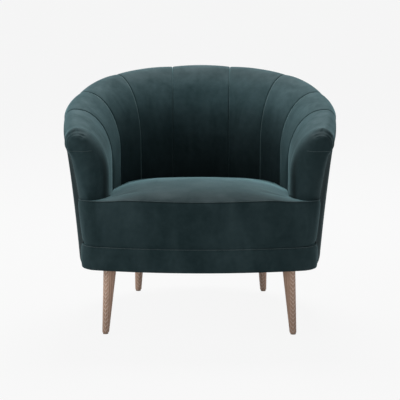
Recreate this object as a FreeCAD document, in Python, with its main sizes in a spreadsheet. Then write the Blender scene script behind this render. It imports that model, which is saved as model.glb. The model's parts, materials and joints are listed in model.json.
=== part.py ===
import FreeCAD, Part
import math
import os

from FreeCAD import Placement, Rotation, Vector

# Channel-backed tub armchair on four turned legs.
# Millimetres, +Z up, the sitter faces -Y, and left is the sitter's left, +X.
# The origin is on the floor under the middle of the chair.

doc = FreeCAD.newDocument("channel_tub_armchair")
sheet = doc.addObject("Spreadsheet::Sheet", "sizes")

SIZES = {
    # legs, and what holds them to the base board
    "leg_height": 203.0,
    "leg_top_radius": 20.0,
    "leg_foot_radius": 9.25,
    "leg_overrun": 12.0,
    "front_leg_side_inset": 104.0,
    "front_leg_front_inset": 89.0,
    "front_leg_splay_out": 14.5,
    "front_leg_splay_fore": 14.5,
    "rear_leg_side_inset": 171.0,
    "rear_leg_rear_inset": 146.0,
    "rear_leg_splay_out": 8.5,
    "rear_leg_splay_back": 16.0,
    "glide_height": 5.0,
    "glide_radius": 8.0,
    "glide_pin_radius": 1.5,
    "glide_pin_length": 14.0,
    "bolt_radius": 4.0,
    "bolt_depth_in_leg": 35.0,
    "bolt_above_leg": 52.0,
    "bolt_clearance": 0.4,
    "thread_clearance": 0.1,
    "nut_lift": 1.1,
    "nut_radius": 9.0,
    "nut_thickness": 5.0,
    "plate_side": 48.0,
    "plate_thickness": 2.5,
    "plate_screw_inset": 6.0,
    "screw_radius": 2.0,
    "screw_length": 15.0,
    "screw_head_radius": 3.8,
    "screw_head_height": 1.6,
    "fit_gap": 0.3,
    # plan of the tub: semi-axes of half ellipses about the widest line
    "seat_half_width": 269.0,
    "seat_rear_reach": 280.0,
    "seat_front_reach": 1100.0,
    "side_wall": 97.0,
    "rear_wall": 116.0,
    "base_front_reach": 690.0,
    "side_flare": 111.0,
    "rear_flare": 154.5,
    "crest_front_reach": 722.0,
    # front of the chair
    "front_reach": 326.0,
    "arm_reach": 228.0,
    "bow_rise": 36.0,
    "corner_width": 43.0,
    "border_step_in": 6.0,
    "border_lean_out": 21.0,
    "facing_depth": 40.0,
    "facing_round": 25.0,
    "facing_first_round": 6.0,
    "facing_first_depth": 22.0,
    # heights above the underside of the base
    "arm_height": 407.0,
    "back_height": 513.0,
    "crest_sag": 18.0,
    "band_height": 66.0,
    "seat_edge_height": 208.0,
    "cap_height": 58.0,
    # upholstery of the tub
    "roll_radius": 33.5,
    "eave_out": 21.0,
    "eave_drop": 66.0,
    "front_waist": 8.0,
    "arm_shoulder": 150.0,
    "back_shoulder": 220.0,
    "channel_groove": 4.0,
    "pad_thickness": 50.0,
    "pad_over_rim": 30.0,
    "pad_below_seat": 76.0,
    "cover_thickness": 4.0,
    "lining_thickness": 3.0,
    "band_thickness": 8.0,
    "band_round": 5.0,
    # wooden frame
    "board_thickness": 18.0,
    "rim_outer": 10.0,
    "rim_inner": 24.0,
    "rib_shoulder": 3.0,
    "hook_clearance": 0.8,
    "rib_thickness": 18.0,
    "post_thickness": 34.0,
    "rail_thickness": 28.0,
    "rail_height": 95.0,
    "bow_rail_thickness": 20.0,
    "rear_rail_inset": 58.0,
    "block_side": 44.0,
    "block_height": 26.0,
    # seat
    "spring_wire_radius": 1.9,
    "spring_half_width": 22.0,
    "spring_spacing": 92.0,
    "clip_width": 14.0,
    "clip_depth": 18.0,
    "clip_roof": 1.6,
    "tie_wire_radius": 1.5,
    "felt_thickness": 4.0,
    "seat_crown": 22.0,
    "seat_side_drop": 38.0,
    "seat_side_clearance": 1.5,
    "seat_cover_thickness": 2.0,
    "dust_cover_thickness": 1.0,
}

CHANNEL_COUNT_PER_SIDE = 4
SPRING_COUNT = 5
SPRING_BEND_COUNT = 34
TIE_WIRE_COUNT = 2
# bearings of the seams round the plan, in degrees from the middle of the back
SEAM_CREST_DEGREES = (14.3, 44.4, 70.0, 90.0)
SEAM_SEAT_DEGREES = (19.0, 43.6, 66.2, 84.0)
# the run from the widest line to the front of the arms counts as this many degrees
ARM_RUN_DEGREES = 42
# places round the tub are counted in channels, as shares, from the middle of the back
CHANNEL_TOLERANCE_SHARE = 0.000001
RIB_CHANNEL_SHARES = {"back": 0.95, "side": 2.1, "arm": 3.2}
POST_CHANNEL_SHARE = 4.36
COVER_JOINT_CHANNEL_SHARE = 1.9
LINING_END_CHANNEL_SHARE = 4.4
LINING_STEP_COUNT = 24
WAIST_START_CHANNEL_SHARE = 3.2
# steps up a rib's outer edge, and the stretch of wall on both sides that it stays clear of
RIB_STEP_COUNT = 4
NEAR_CHANNEL_SHARE = 0.4
NEAR_STEP_COUNT = 8
NEAR_TOLERANCE_SHARE = 0.001
RIM_BACK_STEP_COUNT = 8
RIM_ARM_STEP_COUNT = 6
# how far back the crest line stops sagging, as a share of the tub's depth
CREST_TURN_SHARE = 0.72
CREST_BOW_SHARE = 0.1235
CREST_STEP_COUNT = 14
# turns of the points on the shoulder and on the roll, in degrees
SHOULDER_DEGREES = (0, 22.5, 45, 67.5, 90)
ROLL_DEGREES = (45, 90)
EAVE_BULGE_SHARE = 0.25
# steps of halving that find where a station crosses the base outline
HALVING_COUNT = 60
# where a channel's sections stand, as shares of its half width, and the share of the groove's depth there
SECTION_GAP_CHANNEL_SHARE = 0.08
CHANNEL_SECTION_SHARES = ((-1.0, 1.0), (-0.62, 0.2), (0.0, 0.0), (0.62, 0.2), (1.0, 1.0))
# crown of the seat: share of the way back, share of the crown's rise, share of the side drop
CROWN_SHARES = (
    (-0.03, -0.2, 0.1),
    (0.0, 0.0, 0.13),
    (0.06, 0.5, 0.42),
    (0.16, 0.86, 0.68),
    (0.3, 1.0, 0.95),
    (0.47, 0.77, 1.0),
    (0.66, -0.15, 0.74),
    (0.83, -1.0, 0.32),
    (1.0, -1.68, 0.05),
    (1.06, -1.95, 0.03),
)
CROWN_FLAT_SHARE = 0.62
CROWN_FLAT_FALL_SHARE = 0.12
# the bend between the broad middle and the ears of the seat
BEND_ACROSS_SHARE = 0.55
BEND_DOWN_SHARE = 0.36
CORNER_DEGREES = 50

for row, (alias, number) in enumerate(SIZES.items(), start=1):
    sheet.set("A%d" % row, alias)
    sheet.set("B%d" % row, str(number))
    sheet.setAlias("B%d" % row, alias)
doc.recompute()


def size(alias):
    return float(sheet.get(alias))


def cell(alias):
    return "sizes." + alias


# Derived places

base_z = size("leg_height")
board_bottom = base_z + size("plate_thickness")
board_top = board_bottom + size("board_thickness")
rail_top = board_top + size("rail_height")
band_top = base_z + size("band_height")
seat_edge_z = base_z + size("seat_edge_height")
pad_low = seat_edge_z - size("pad_below_seat")
base_half_width = size("seat_half_width") + size("side_wall")
base_rear_reach = size("seat_rear_reach") + size("rear_wall")
crest_half_width = size("seat_half_width") + size("side_flare")
crest_rear_reach = size("seat_rear_reach") + size("rear_flare")
widest_y = (size("front_reach") - crest_rear_reach - size("roll_radius")) / 2
front_y = widest_y - size("front_reach")
arm_front_y = widest_y - size("arm_reach")
crest_rear_y = widest_y + crest_rear_reach
gap = size("fit_gap")


def crest_z(y):
    """Height of the tub's crest over a depth y: slow along the arms, steep, then level."""
    share = (y - arm_front_y) / (crest_rear_y - arm_front_y)
    rise = size("back_height") - size("arm_height")
    bow = share * (1 - share) * (1 - share / CREST_TURN_SHARE)
    sag = size("crest_sag") * bow / CREST_BOW_SHARE
    return base_z + size("arm_height") + rise * share - sag


# Plan curves

SEAT_CURVE = (size("seat_half_width"), size("seat_rear_reach"), size("seat_front_reach"))
BASE_CURVE = (base_half_width, base_rear_reach, size("base_front_reach"))
CREST_CURVE = (crest_half_width, crest_rear_reach, size("crest_front_reach"))


def plan_point(curve, bearing):
    """Point of a plan curve at a bearing in degrees, 0 at the middle of the back."""
    half_width, rear, front = curve
    turn = math.radians(bearing)
    reach = rear if math.cos(turn) >= 0 else front
    return half_width * math.sin(turn), widest_y + reach * math.cos(turn)


def curve_x(curve, y):
    """Half width of a plan curve at a depth y."""
    half_width, rear, front = curve
    reach = rear if y >= widest_y else front
    return half_width * math.sqrt(max(0.0, 1 - ((y - widest_y) / reach) ** 2))


def tub_point(curve, bearing):
    """Point of a plan curve: by bearing to the widest line, then evenly along the arm."""
    if bearing <= 90:
        return plan_point(curve, bearing)
    y = widest_y - size("arm_reach") * (bearing - 90) / ARM_RUN_DEGREES
    return curve_x(curve, y), y


class Station:
    """A vertical plane through the tub's wall. s runs outward from the inner face."""

    def __init__(self, place):
        side = -1 if place < 0 else 1
        places = [0.0] + [k + 0.5 for k in range(CHANNEL_COUNT_PER_SIDE + 1)]
        crest = [0.0, *SEAM_CREST_DEGREES, 90 + ARM_RUN_DEGREES]
        seat = [0.0, *SEAM_SEAT_DEGREES, 90 + ARM_RUN_DEGREES]
        k = max(i for i in range(len(places) - 1) if abs(place) > places[i] - CHANNEL_TOLERANCE_SHARE)
        share = (abs(place) - places[k]) / (places[k + 1] - places[k])
        at_crest = crest[k] + share * (crest[k + 1] - crest[k])
        at_seat = seat[k] + share * (seat[k + 1] - seat[k])
        crest_x, crest_y = tub_point(CREST_CURVE, at_crest)
        self.x, self.y = tub_point(SEAT_CURVE, at_seat)
        self.reach = math.hypot(crest_x - self.x, crest_y - self.y)
        self.along = ((crest_x - self.x) / self.reach, (crest_y - self.y) / self.reach)
        self.side = side
        self.top = crest_z(crest_y)
        past = (abs(place) - WAIST_START_CHANNEL_SHARE) / (places[-1] - WAIST_START_CHANNEL_SHARE)
        self.waist = size("front_waist") * max(0.0, past) ** 2

    def at(self, s, z):
        return Vector(self.side * (self.x + s * self.along[0]), self.y + s * self.along[1], z)

    def normal(self):
        return Vector(-self.side * self.along[1], self.along[0], 0)

    def plane_z(self, s):
        """Height of the crest over the place s of this station."""
        return crest_z(self.y + s * self.along[1])

    def base_s(self):
        """Where this station crosses the outline of the base."""
        low, high = 0.0, self.reach + size("side_wall") + size("rear_wall")
        for _ in range(HALVING_COUNT):
            middle = (low + high) / 2
            point = self.at(middle, 0)
            if abs(point.x) < curve_x(BASE_CURVE, point.y):
                low = middle
            else:
                high = middle
        return low

    def outer_s(self, z):
        """Outer face of the tub between the base and the eave."""
        eave_z = self.top - size("eave_drop")
        share = (z - base_z) / (eave_z - base_z)
        foot = self.base_s()
        hollow = 4 * self.waist * share * (1 - share)
        return foot + share * (self.reach + size("eave_out") - foot) - hollow

    def shoulder(self):
        share = (self.top - base_z - size("arm_height")) / (size("back_height") - size("arm_height"))
        return size("arm_shoulder") + share * (size("back_shoulder") - size("arm_shoulder"))

    def crown_points(self, inset):
        """The visible line from the inner face over the shoulder and the roll to the eave."""
        reach, top = self.reach, self.top
        drop, roll = self.shoulder(), size("roll_radius")
        start = top - drop
        points = []
        for degrees in SHOULDER_DEGREES:
            turn = math.radians(degrees)
            across = (reach - inset) * math.cos(turn)
            points.append((reach - across, start + (drop - inset) * math.sin(turn)))
        for degrees in ROLL_DEGREES:
            turn = math.radians(degrees)
            across = (roll - inset) * math.sin(turn)
            points.append((reach + across, top - inset - (roll - inset) * (1 - math.cos(turn))))
        eave = (reach + size("eave_out"), top - size("eave_drop"))
        side = points[-1]
        bulge = EAVE_BULGE_SHARE * (size("roll_radius") - size("eave_out"))
        points.append(((side[0] + eave[0]) / 2 + bulge, (side[1] + eave[1]) / 2))
        points.append(eave)
        return points


def arc(a, b, c):
    return Part.Arc(a, b, c).toShape()


def line(a, b):
    return Part.LineSegment(a, b).toShape()


def crown_edges(station, inset):
    """Arcs and lines of the visible line, with the inner face's foot left out."""
    p = [station.at(*point) for point in station.crown_points(inset)]
    return [arc(p[0], p[1], p[2]), arc(p[2], p[3], p[4]), arc(p[4], p[5], p[6]), arc(p[6], p[7], p[8])]


def closed_wire(edges, corners):
    """A closed wire: the edges in turn, then straight lines through the corners."""
    points = [edges[-1].Vertexes[-1].Point] + corners + [edges[0].Vertexes[0].Point]
    return Part.Wire(edges + [line(a, b) for a, b in zip(points, points[1:])])


def halfway(edge):
    return edge.valueAt((edge.FirstParameter + edge.LastParameter) / 2)


def spread(start, end, steps):
    return [start + (end - start) * k / steps for k in range(steps + 1)]


def mirrored(shape):
    return shape.mirror(Vector(0, 0, 0), Vector(1, 0, 0))


def section_places(first, last):
    """Places of the sections through a run of channels, the ends included."""
    places = {first, last}
    for k in range(-CHANNEL_COUNT_PER_SIDE, CHANNEL_COUNT_PER_SIDE + 1):
        for share, depth in CHANNEL_SECTION_SHARES[1:]:
            place = k + share / 2
            if first + SECTION_GAP_CHANNEL_SHARE < place < last - SECTION_GAP_CHANNEL_SHARE:
                places.add(place)
    return sorted(places)


# Making named sub-parts

nodes = []


def add_shape(label, shape):
    """A sub-part whose form is set directly from the sizes."""
    piece = doc.addObject("Part::Feature", label)
    piece.Label = label
    piece.Shape = shape
    nodes.append(piece)
    return piece


def add_pair(label, left_shape):
    add_shape(label + "_left", left_shape)
    add_shape(label + "_right", mirrored(left_shape))


def add_node(piece, label):
    piece.Label = label
    nodes.append(piece)
    return piece


def primitive(kind, name, place, **expressions):
    """A box, cylinder, cone or prism whose sizes are tied to the sheet."""
    item = doc.addObject("Part::" + kind, name)
    for key, expression in expressions.items():
        item.setExpression(key, expression)
    item.Placement = place if isinstance(place, Placement) else Placement(place, Rotation())
    return item


def combined(kind, name, base, tool):
    """Base cut by, fused with or limited to a tool."""
    item = doc.addObject("Part::" + kind, name)
    item.Base, item.Tool = base, tool
    return item


def grouped(label, items, node=True):
    group = doc.addObject("Part::Compound", label)
    group.Links = items
    return add_node(group, label) if node else group


def padded_body(name, edges, length, height):
    """A body padded up from an outline drawn in plan. length and height are expressions."""
    body = doc.addObject("PartDesign::Body", name + "_body")
    sketch = body.newObject("Sketcher::SketchObject", name + "_outline")
    plane = next(f for f in body.Origin.OriginFeatures if f.Role == "XY_Plane")
    sketch.AttachmentSupport = [(plane, "")]
    sketch.MapMode = "FlatFace"
    for edge in edges:
        sketch.addGeometry(edge)
    doc.recompute()
    pad = body.newObject("PartDesign::Pad", name + "_pad")
    pad.Profile = sketch
    pad.setExpression("Length", length)
    body.Tip = pad
    body.setExpression("Placement.Base.z", height)
    doc.recompute()
    return body


def rectangle(x0, x1, y0, y1):
    corners = [Vector(x0, y0, 0), Vector(x1, y0, 0), Vector(x1, y1, 0), Vector(x0, y1, 0)]
    return [Part.LineSegment(a, b) for a, b in zip(corners, corners[1:] + corners[:1])]


def curve_arcs(curve, inset, bearings):
    """Arcs that follow a plan curve, drawn in by inset, through the bearings in turn."""
    half_width, rear, front = curve
    shrunk = (half_width - inset, rear - inset, front)
    arcs = []
    for a, b in zip(bearings, bearings[1:]):
        points = [Vector(*plan_point(shrunk, turn), 0) for turn in (a, (a + b) / 2, b)]
        arcs.append(Part.Arc(*points))
    return arcs


def front_arcs(side_x, inset):
    """The bowed front and its two rounded corners, from the left side to the right."""
    x = side_x - inset
    corner_x = x - size("corner_width")
    corner_y = front_y + size("bow_rise") + inset
    middle = Vector(0, front_y + inset, 0)
    bow_end = Vector(corner_x, corner_y, 0)
    side_end = Vector(x, arm_front_y, 0)
    depth = arm_front_y - corner_y
    round_x = corner_x + size("corner_width") * math.sin(math.radians(CORNER_DEGREES))
    round_y = corner_y + depth * (1 - math.cos(math.radians(CORNER_DEGREES)))
    corner = Part.Arc(side_end, Vector(round_x, round_y, 0), bow_end)
    bow = Part.Arc(bow_end, middle, Vector(-corner_x, corner_y, 0))
    far_end = Vector(-corner_x, corner_y, 0)
    other = Part.Arc(far_end, Vector(-round_x, round_y, 0), Vector(-x, arm_front_y, 0))
    return [corner, bow, other]


def shaped(arcs):
    return [a.toShape() for a in arcs]


def base_outline(inset):
    """Outline of the base, drawn in all round."""
    end = math.degrees(math.acos(-size("arm_reach") / size("base_front_reach")))
    bearings = [-end, -90, -60, -30, 0, 30, 60, 90, end]
    rear = curve_arcs(BASE_CURVE, inset, bearings)
    return rear + front_arcs(rear[-1].EndPoint.x + inset, inset)


# Legs

def leg_places():
    """Top centre and foot centre of each leg."""
    front_x = base_half_width - size("front_leg_side_inset")
    front_leg_y = front_y + size("front_leg_front_inset")
    rear_x = base_half_width - size("rear_leg_side_inset")
    rear_y = widest_y + base_rear_reach - size("rear_leg_rear_inset")
    places = {}
    for side, name in ((1, "left"), (-1, "right")):
        top = Vector(side * front_x, front_leg_y, base_z)
        foot = top + Vector(side * size("front_leg_splay_out"), -size("front_leg_splay_fore"), -base_z)
        places["front_" + name] = (top, foot)
        top = Vector(side * rear_x, rear_y, base_z)
        foot = top + Vector(side * size("rear_leg_splay_out"), size("rear_leg_splay_back"), -base_z)
        places["rear_" + name] = (top, foot)
    return places


LEGS = leg_places()


def leg_axis(top, foot, start):
    """Placement on a leg's axis, start measured up from the leg's top centre."""
    axis = (top - foot).normalize()
    return Placement(top + axis * start, Rotation(Vector(0, 0, 1), axis))


def make_leg(name, top, foot):
    """A straight taper, cut level at the floor glide and under its mounting plate."""
    length = (top - foot).Length
    start = leg_axis(top, foot, -length - size("leg_overrun"))
    taper = primitive("Cone", name + "_taper", start,
                      Radius1=cell("leg_foot_radius"), Radius2=cell("leg_top_radius"))
    taper.Height = length + 2 * size("leg_overrun")
    corner = Vector(foot.x - length, foot.y - length, size("glide_height"))
    slab = primitive("Box", name + "_level_cut", corner,
                     Height=cell("leg_height") + " - " + cell("glide_height"))
    slab.Length = slab.Width = 2 * length
    level = combined("Common", name + "_levelled", taper, slab)
    bolt_hole = primitive("Cylinder", name + "_bolt_hole", leg_axis(top, foot, -size("bolt_depth_in_leg")),
                          Radius=cell("bolt_radius") + " + " + cell("thread_clearance"),
                          Height="2 * " + cell("bolt_depth_in_leg"))
    drilled = combined("Cut", name + "_drilled", level, bolt_hole)
    pin_hole = primitive("Cylinder", name + "_glide_hole", Vector(foot.x, foot.y, 0),
                         Radius=cell("glide_pin_radius") + " + " + cell("thread_clearance"),
                         Height=cell("glide_height") + " + " + cell("glide_pin_length"))
    return add_node(combined("Cut", "leg_" + name, drilled, pin_hole), "leg_" + name)


def make_glides():
    """A nylon glide with its nail under every leg."""
    glides = []
    height = cell("glide_height") + " + " + cell("glide_pin_length") + " - " + cell("fit_gap")
    for name, (top, foot) in LEGS.items():
        centre = Vector(foot.x, foot.y, 0)
        disc = primitive("Cylinder", name + "_glide_disc", centre,
                         Radius=cell("glide_radius"), Height=cell("glide_height"))
        nail = primitive("Cylinder", name + "_glide_nail", centre,
                         Radius=cell("glide_pin_radius"), Height=height)
        glides.append(combined("Fuse", name + "_glide", disc, nail))
    grouped("floor_glides", glides)


def bolt_room(name, top, foot):
    """The clearance hole for a hanger bolt through everything above the leg."""
    return primitive("Cylinder", name, leg_axis(top, foot, -size("leg_overrun")),
                     Radius=cell("bolt_radius") + " + " + cell("bolt_clearance"),
                     Height=cell("bolt_above_leg") + " + 2 * " + cell("leg_overrun"))


def plate_screw_places(top):
    reach = size("plate_side") / 2 - size("plate_screw_inset")
    return [Vector(top.x + sx, top.y + sy, base_z) for sx in (-reach, reach) for sy in (-reach, reach)]


def screw_holes(name, top, clearance, height):
    """Four holes for the screws of one leg plate."""
    holes = []
    for k, start in enumerate(plate_screw_places(top)):
        holes.append(primitive("Cylinder", "%s_%d" % (name, k), start,
                               Radius=cell("screw_radius") + " + " + clearance, Height=height))
    return holes


def make_bolts_and_nuts():
    bolts, nuts = [], []
    for name, (top, foot) in LEGS.items():
        start = leg_axis(top, foot, gap - size("bolt_depth_in_leg"))
        bolts.append(primitive("Cylinder", name + "_bolt", start, Radius=cell("bolt_radius"),
                               Height=cell("bolt_depth_in_leg") + " + " + cell("bolt_above_leg")))
        rise = board_top + size("block_height") + size("nut_lift") - base_z
        hexagon = primitive("Prism", name + "_nut_blank", leg_axis(top, foot, rise),
                            Circumradius=cell("nut_radius"), Height=cell("nut_thickness"))
        thread = primitive("Cylinder", name + "_nut_bore", leg_axis(top, foot, 0),
                           Radius=cell("bolt_radius") + " + " + cell("thread_clearance"),
                           Height="2 * " + cell("bolt_above_leg"))
        nuts.append(combined("Cut", name + "_nut", hexagon, thread))
    grouped("hanger_bolts", bolts)
    grouped("bolt_nuts", nuts)


def make_plates_and_blocks():
    plates, screws, blocks = [], [], []
    for name, (top, foot) in LEGS.items():
        half = size("plate_side") / 2
        side, thick = cell("plate_side"), cell("plate_thickness")
        blank = primitive("Box", name + "_plate_blank", Vector(top.x - half, top.y - half, base_z),
                          Length=side, Width=side, Height=thick)
        holes = screw_holes(name + "_plate_hole", top, cell("fit_gap"), thick)
        holes.append(bolt_room(name + "_plate_bolt_room", top, foot))
        room = grouped(name + "_plate_holes", holes, False)
        plates.append(combined("Cut", name + "_plate", blank, room))
        for k, start in enumerate(plate_screw_places(top)):
            shank = primitive("Cylinder", "%s_screw_shank_%d" % (name, k), start,
                              Radius=cell("screw_radius"), Height=cell("screw_length"))
            head = primitive("Cylinder", "%s_screw_head_%d" % (name, k),
                             start - Vector(0, 0, size("screw_head_height")),
                             Radius=cell("screw_head_radius"), Height=cell("screw_head_height"))
            screws.append(combined("Fuse", "%s_screw_%d" % (name, k), shank, head))
        half = size("block_side") / 2
        side, tall = cell("block_side"), cell("block_height")
        blank = primitive("Box", name + "_block_blank", Vector(top.x - half, top.y - half, board_top),
                          Length=side, Width=side, Height=tall)
        room = bolt_room(name + "_block_bolt_room", top, foot)
        blocks.append(combined("Cut", name + "_block", blank, room))
    grouped("leg_plates", plates)
    grouped("leg_plate_screws", screws)
    grouped("corner_blocks", blocks)


# Frame

def board_inset():
    return size("band_thickness") + 2 * gap


def base_board():
    """Plywood base that the legs, the ribs and the seat rails stand on."""
    edges = base_outline(board_inset())
    height = cell("leg_height") + " + " + cell("plate_thickness")
    body = padded_body("base_board_blank", edges, cell("board_thickness"), height)
    cutters = []
    for name, (top, foot) in LEGS.items():
        cutters.append(bolt_room(name + "_board_bolt_room", top, foot))
        depth = cell("screw_length") + " + " + cell("fit_gap")
        cutters += screw_holes(name + "_board_hole", top, cell("thread_clearance"), depth)
    holes = grouped("base_board_holes", cutters, False)
    add_node(combined("Cut", "base_board", body, holes), "base_board")


def rail_outer_x():
    """Outer face of the side rails, beside the front corner blocks."""
    return base_half_width - size("front_leg_side_inset") - size("block_side") / 2 - gap


def rail_rear_y():
    return widest_y + size("seat_rear_reach") - size("rear_rail_inset")


def seat_rails():
    """Straight rails that carry the springs, on the base board."""
    height = cell("leg_height") + " + " + cell("plate_thickness") + " + " + cell("board_thickness")
    thick = size("rail_thickness")
    outer = rail_outer_x()
    front_back = arm_front_y - gap
    rear_face = rail_rear_y()
    rails = {
        "front_seat_rail": rectangle(-outer, outer, front_back - thick, front_back),
        "rear_seat_rail": rectangle(-outer, outer, rear_face - thick, rear_face),
        "side_seat_rail_left": rectangle(outer - thick, outer, front_back, rear_face - thick),
        "side_seat_rail_right": rectangle(-outer, thick - outer, front_back, rear_face - thick),
    }
    for label, edges in rails.items():
        add_node(padded_body(label + "_stock", edges, cell("rail_height"), height), label)


def bow_rail():
    """Curved rail behind the lower band."""
    side_x = curve_x(BASE_CURVE, arm_front_y)
    outer = front_arcs(side_x, size("band_thickness") + gap)
    inner = front_arcs(side_x, size("band_thickness") + gap + size("bow_rail_thickness"))
    a, b = outer[0].StartPoint, inner[0].StartPoint
    c, d = outer[-1].EndPoint, inner[-1].EndPoint
    edges = outer + [Part.LineSegment(c, d)] + inner + [Part.LineSegment(b, a)]
    height = cell("leg_height") + " + " + cell("plate_thickness") + " + " + cell("board_thickness")
    length = cell("band_height") + " - " + cell("plate_thickness") + " - " + cell("board_thickness")
    add_node(padded_body("front_bow_rail_stock", edges, length, height), "front_bow_rail")


def crest_block(drop):
    """Everything above the crest lowered by drop."""
    front, rear = arm_front_y - size("eave_drop"), crest_rear_y + size("eave_drop")
    high = crest_z(rear) + size("eave_drop")
    side = crest_half_width + size("roll_radius")
    curve = Part.BSplineCurve()
    curve.interpolate([Vector(-side, y, crest_z(y) - drop) for y in spread(front, rear, CREST_STEP_COUNT)])
    roof = [Vector(-side, rear, high), Vector(-side, front, high)]
    face = Part.Face(closed_wire([curve.toShape()], roof))
    return face.extrude(Vector(2 * side, 0, 0))


def rim_underside():
    return size("pad_over_rim") + size("board_thickness")


def crossing(station, near, z, offset, depth):
    """How far out a line beside the station meets the wall line that depth gives."""
    start = station.at(0, z) + station.normal() * offset
    way = station.at(1, z) - station.at(0, z)
    points = [s.at(depth(s), z) for s in near]
    for a, b in zip(points, points[1:]):
        run = b - a
        turn = way.x * run.y - way.y * run.x
        out = ((a.x - start.x) * run.y - (a.y - start.y) * run.x) / turn
        share = ((a.x - start.x) * way.y - (a.y - start.y) * way.x) / turn
        if -NEAR_TOLERANCE_SHARE <= share <= 1 + NEAR_TOLERANCE_SHARE:
            return out
    raise RuntimeError("a rib misses the wall at height %.0f" % z)


def lining_line(station):
    """Inner face of the lining: its foot, its top and the height of its top."""
    low = size("pad_thickness") + gap
    high = station.reach - size("rim_inner") - size("hook_clearance") + gap
    return low, high, station.plane_z(high) - rim_underside() - gap


def rib(place, thickness):
    """A flat upright rib between the base board and the rim, clear of cover and lining."""
    station = Station(place)
    first = place - NEAR_CHANNEL_SHARE
    last = min(place + NEAR_CHANNEL_SHARE, CHANNEL_COUNT_PER_SIDE + 0.5)
    near = [Station(p) for p in spread(first, last, NEAR_STEP_COUNT)]
    offsets = spread(-thickness / 2, thickness / 2, 2)

    def outer(z):
        inset = size("cover_thickness") + gap
        return min(crossing(station, near, z, d, lambda s: s.outer_s(z) - inset) for d in offsets)

    def inner(z):
        def depth(s):
            low, high, top = lining_line(s)
            share = max(0.0, (z - pad_low) / (top - pad_low))
            return low + share * (high - low) + size("lining_thickness") + gap
        return max(crossing(station, near, z, d, depth) for d in offsets)

    eave = min(s.top for s in near) - size("eave_drop") - gap
    top_in = station.reach - size("rim_inner") + size("rib_shoulder")
    top_out = station.reach + size("rim_outer") - size("rib_shoulder")
    lining_top = max(lining_line(s)[2] for s in near)
    points = [(inner(pad_low), board_top)]
    points += [(outer(z), z) for z in spread(board_top, eave, RIB_STEP_COUNT)]
    points += [
        (top_out, eave),
        (top_out, station.top),
        (top_in, station.top),
        (top_in, lining_top),
        (inner(lining_top), lining_top),
        (inner(pad_low), pad_low),
    ]
    corners = [station.at(*p) for p in points]
    face = Part.Face(Part.makePolygon(corners + corners[:1]))
    across = station.normal() * thickness
    face.translate(across * -0.5)
    return face.extrude(across).cut(crest_block(rim_underside()))


def ribs():
    add_shape("rib_back_centre", rib(0.0, size("rib_thickness")))
    for name, place in RIB_CHANNEL_SHARES.items():
        add_pair("rib_" + name, rib(place, size("rib_thickness")))
    add_pair("arm_post", rib(POST_CHANNEL_SHARE, size("post_thickness")))


def plan_strip(places, inner, outer):
    """Face in plan between two lines at fixed s from the crest, through stations."""
    stations = [Station(p) for p in places]
    near = [s.at(s.reach - inner, 0) for s in stations]
    far = [s.at(s.reach + outer, 0) for s in stations]
    edges = [arc(*near[k:k + 3]) for k in range(0, len(near) - 2, 2)]
    edges.append(line(near[-1], far[-1]))
    edges += [arc(*far[k:k + 3]) for k in range(0, len(far) - 2, 2)]
    edges.append(line(far[0], near[0]))
    return Part.Face(Part.Wire(Part.sortEdges(edges)[0]))


def rims():
    """Three plywood pieces that lie in the sloping plane under the crest."""
    joint = COVER_JOINT_CHANNEL_SHARE
    runs = {
        "rim_back": spread(-joint, joint, RIM_BACK_STEP_COUNT),
        "rim_arm_left": spread(joint, CHANNEL_COUNT_PER_SIDE + 0.5, RIM_ARM_STEP_COUNT),
    }
    slab = crest_block(rim_underside()).cut(crest_block(size("pad_over_rim")))
    for label, places in runs.items():
        strip = plan_strip(places, size("rim_inner"), size("rim_outer"))
        tall = strip.extrude(Vector(0, 0, crest_z(crest_rear_y) + size("eave_drop")))
        piece = tall.common(slab)
        add_shape(label, piece)
        if label.endswith("left"):
            add_shape(label.replace("left", "right"), mirrored(piece))


def lining_strip(places):
    """Fibreboard behind the channels."""
    wires = []
    for place in places:
        s = Station(place)
        low, high, z = lining_line(s)
        thick = size("lining_thickness")
        points = [s.at(low, pad_low), s.at(low + thick, pad_low), s.at(high + thick, z), s.at(high, z)]
        wires.append(Part.makePolygon(points + points[:1]))
    return Part.makeLoft(wires, True, True)


def linings():
    joint = COVER_JOINT_CHANNEL_SHARE
    add_shape("back_lining", lining_strip(spread(-joint, joint, 2 * LINING_STEP_COUNT)))
    add_pair("arm_lining", lining_strip(spread(joint, LINING_END_CHANNEL_SHARE, LINING_STEP_COUNT)))


# Upholstery of the tub

def channel_section(place, inset):
    """One padded section, hooked over the rim."""
    s = Station(place)
    foot = line(s.at(inset, pad_low), s.at(inset, s.top - s.shoulder()))
    edges = [foot] + crown_edges(s, inset)
    hook_out = s.reach + size("rim_outer") + size("hook_clearance")
    hook_in = s.reach - size("rim_inner") - size("hook_clearance")
    over = size("pad_over_rim") - gap
    eave = s.top - size("eave_drop")
    corners = [
        s.at(hook_out, eave),
        s.at(hook_out, s.plane_z(hook_out) - over),
        s.at(hook_in, s.plane_z(hook_in) - over),
        s.at(hook_in, s.plane_z(hook_in) - rim_underside()),
        s.at(size("pad_thickness"), pad_low),
    ]
    return closed_wire(edges, corners)


def channel(first, last):
    middle, half = (first + last) / 2, (last - first) / 2
    wires = []
    for share, depth in CHANNEL_SECTION_SHARES:
        inset = size("channel_groove") * depth
        wires.append(channel_section(middle + half * share, inset))
    return Part.makeLoft(wires, True, False)


def channels():
    add_shape("channel_centre", channel(-0.5, 0.5))
    for k in range(1, CHANNEL_COUNT_PER_SIDE + 1):
        add_pair("channel_%d" % k, channel(k - 0.5, k + 0.5))


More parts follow.
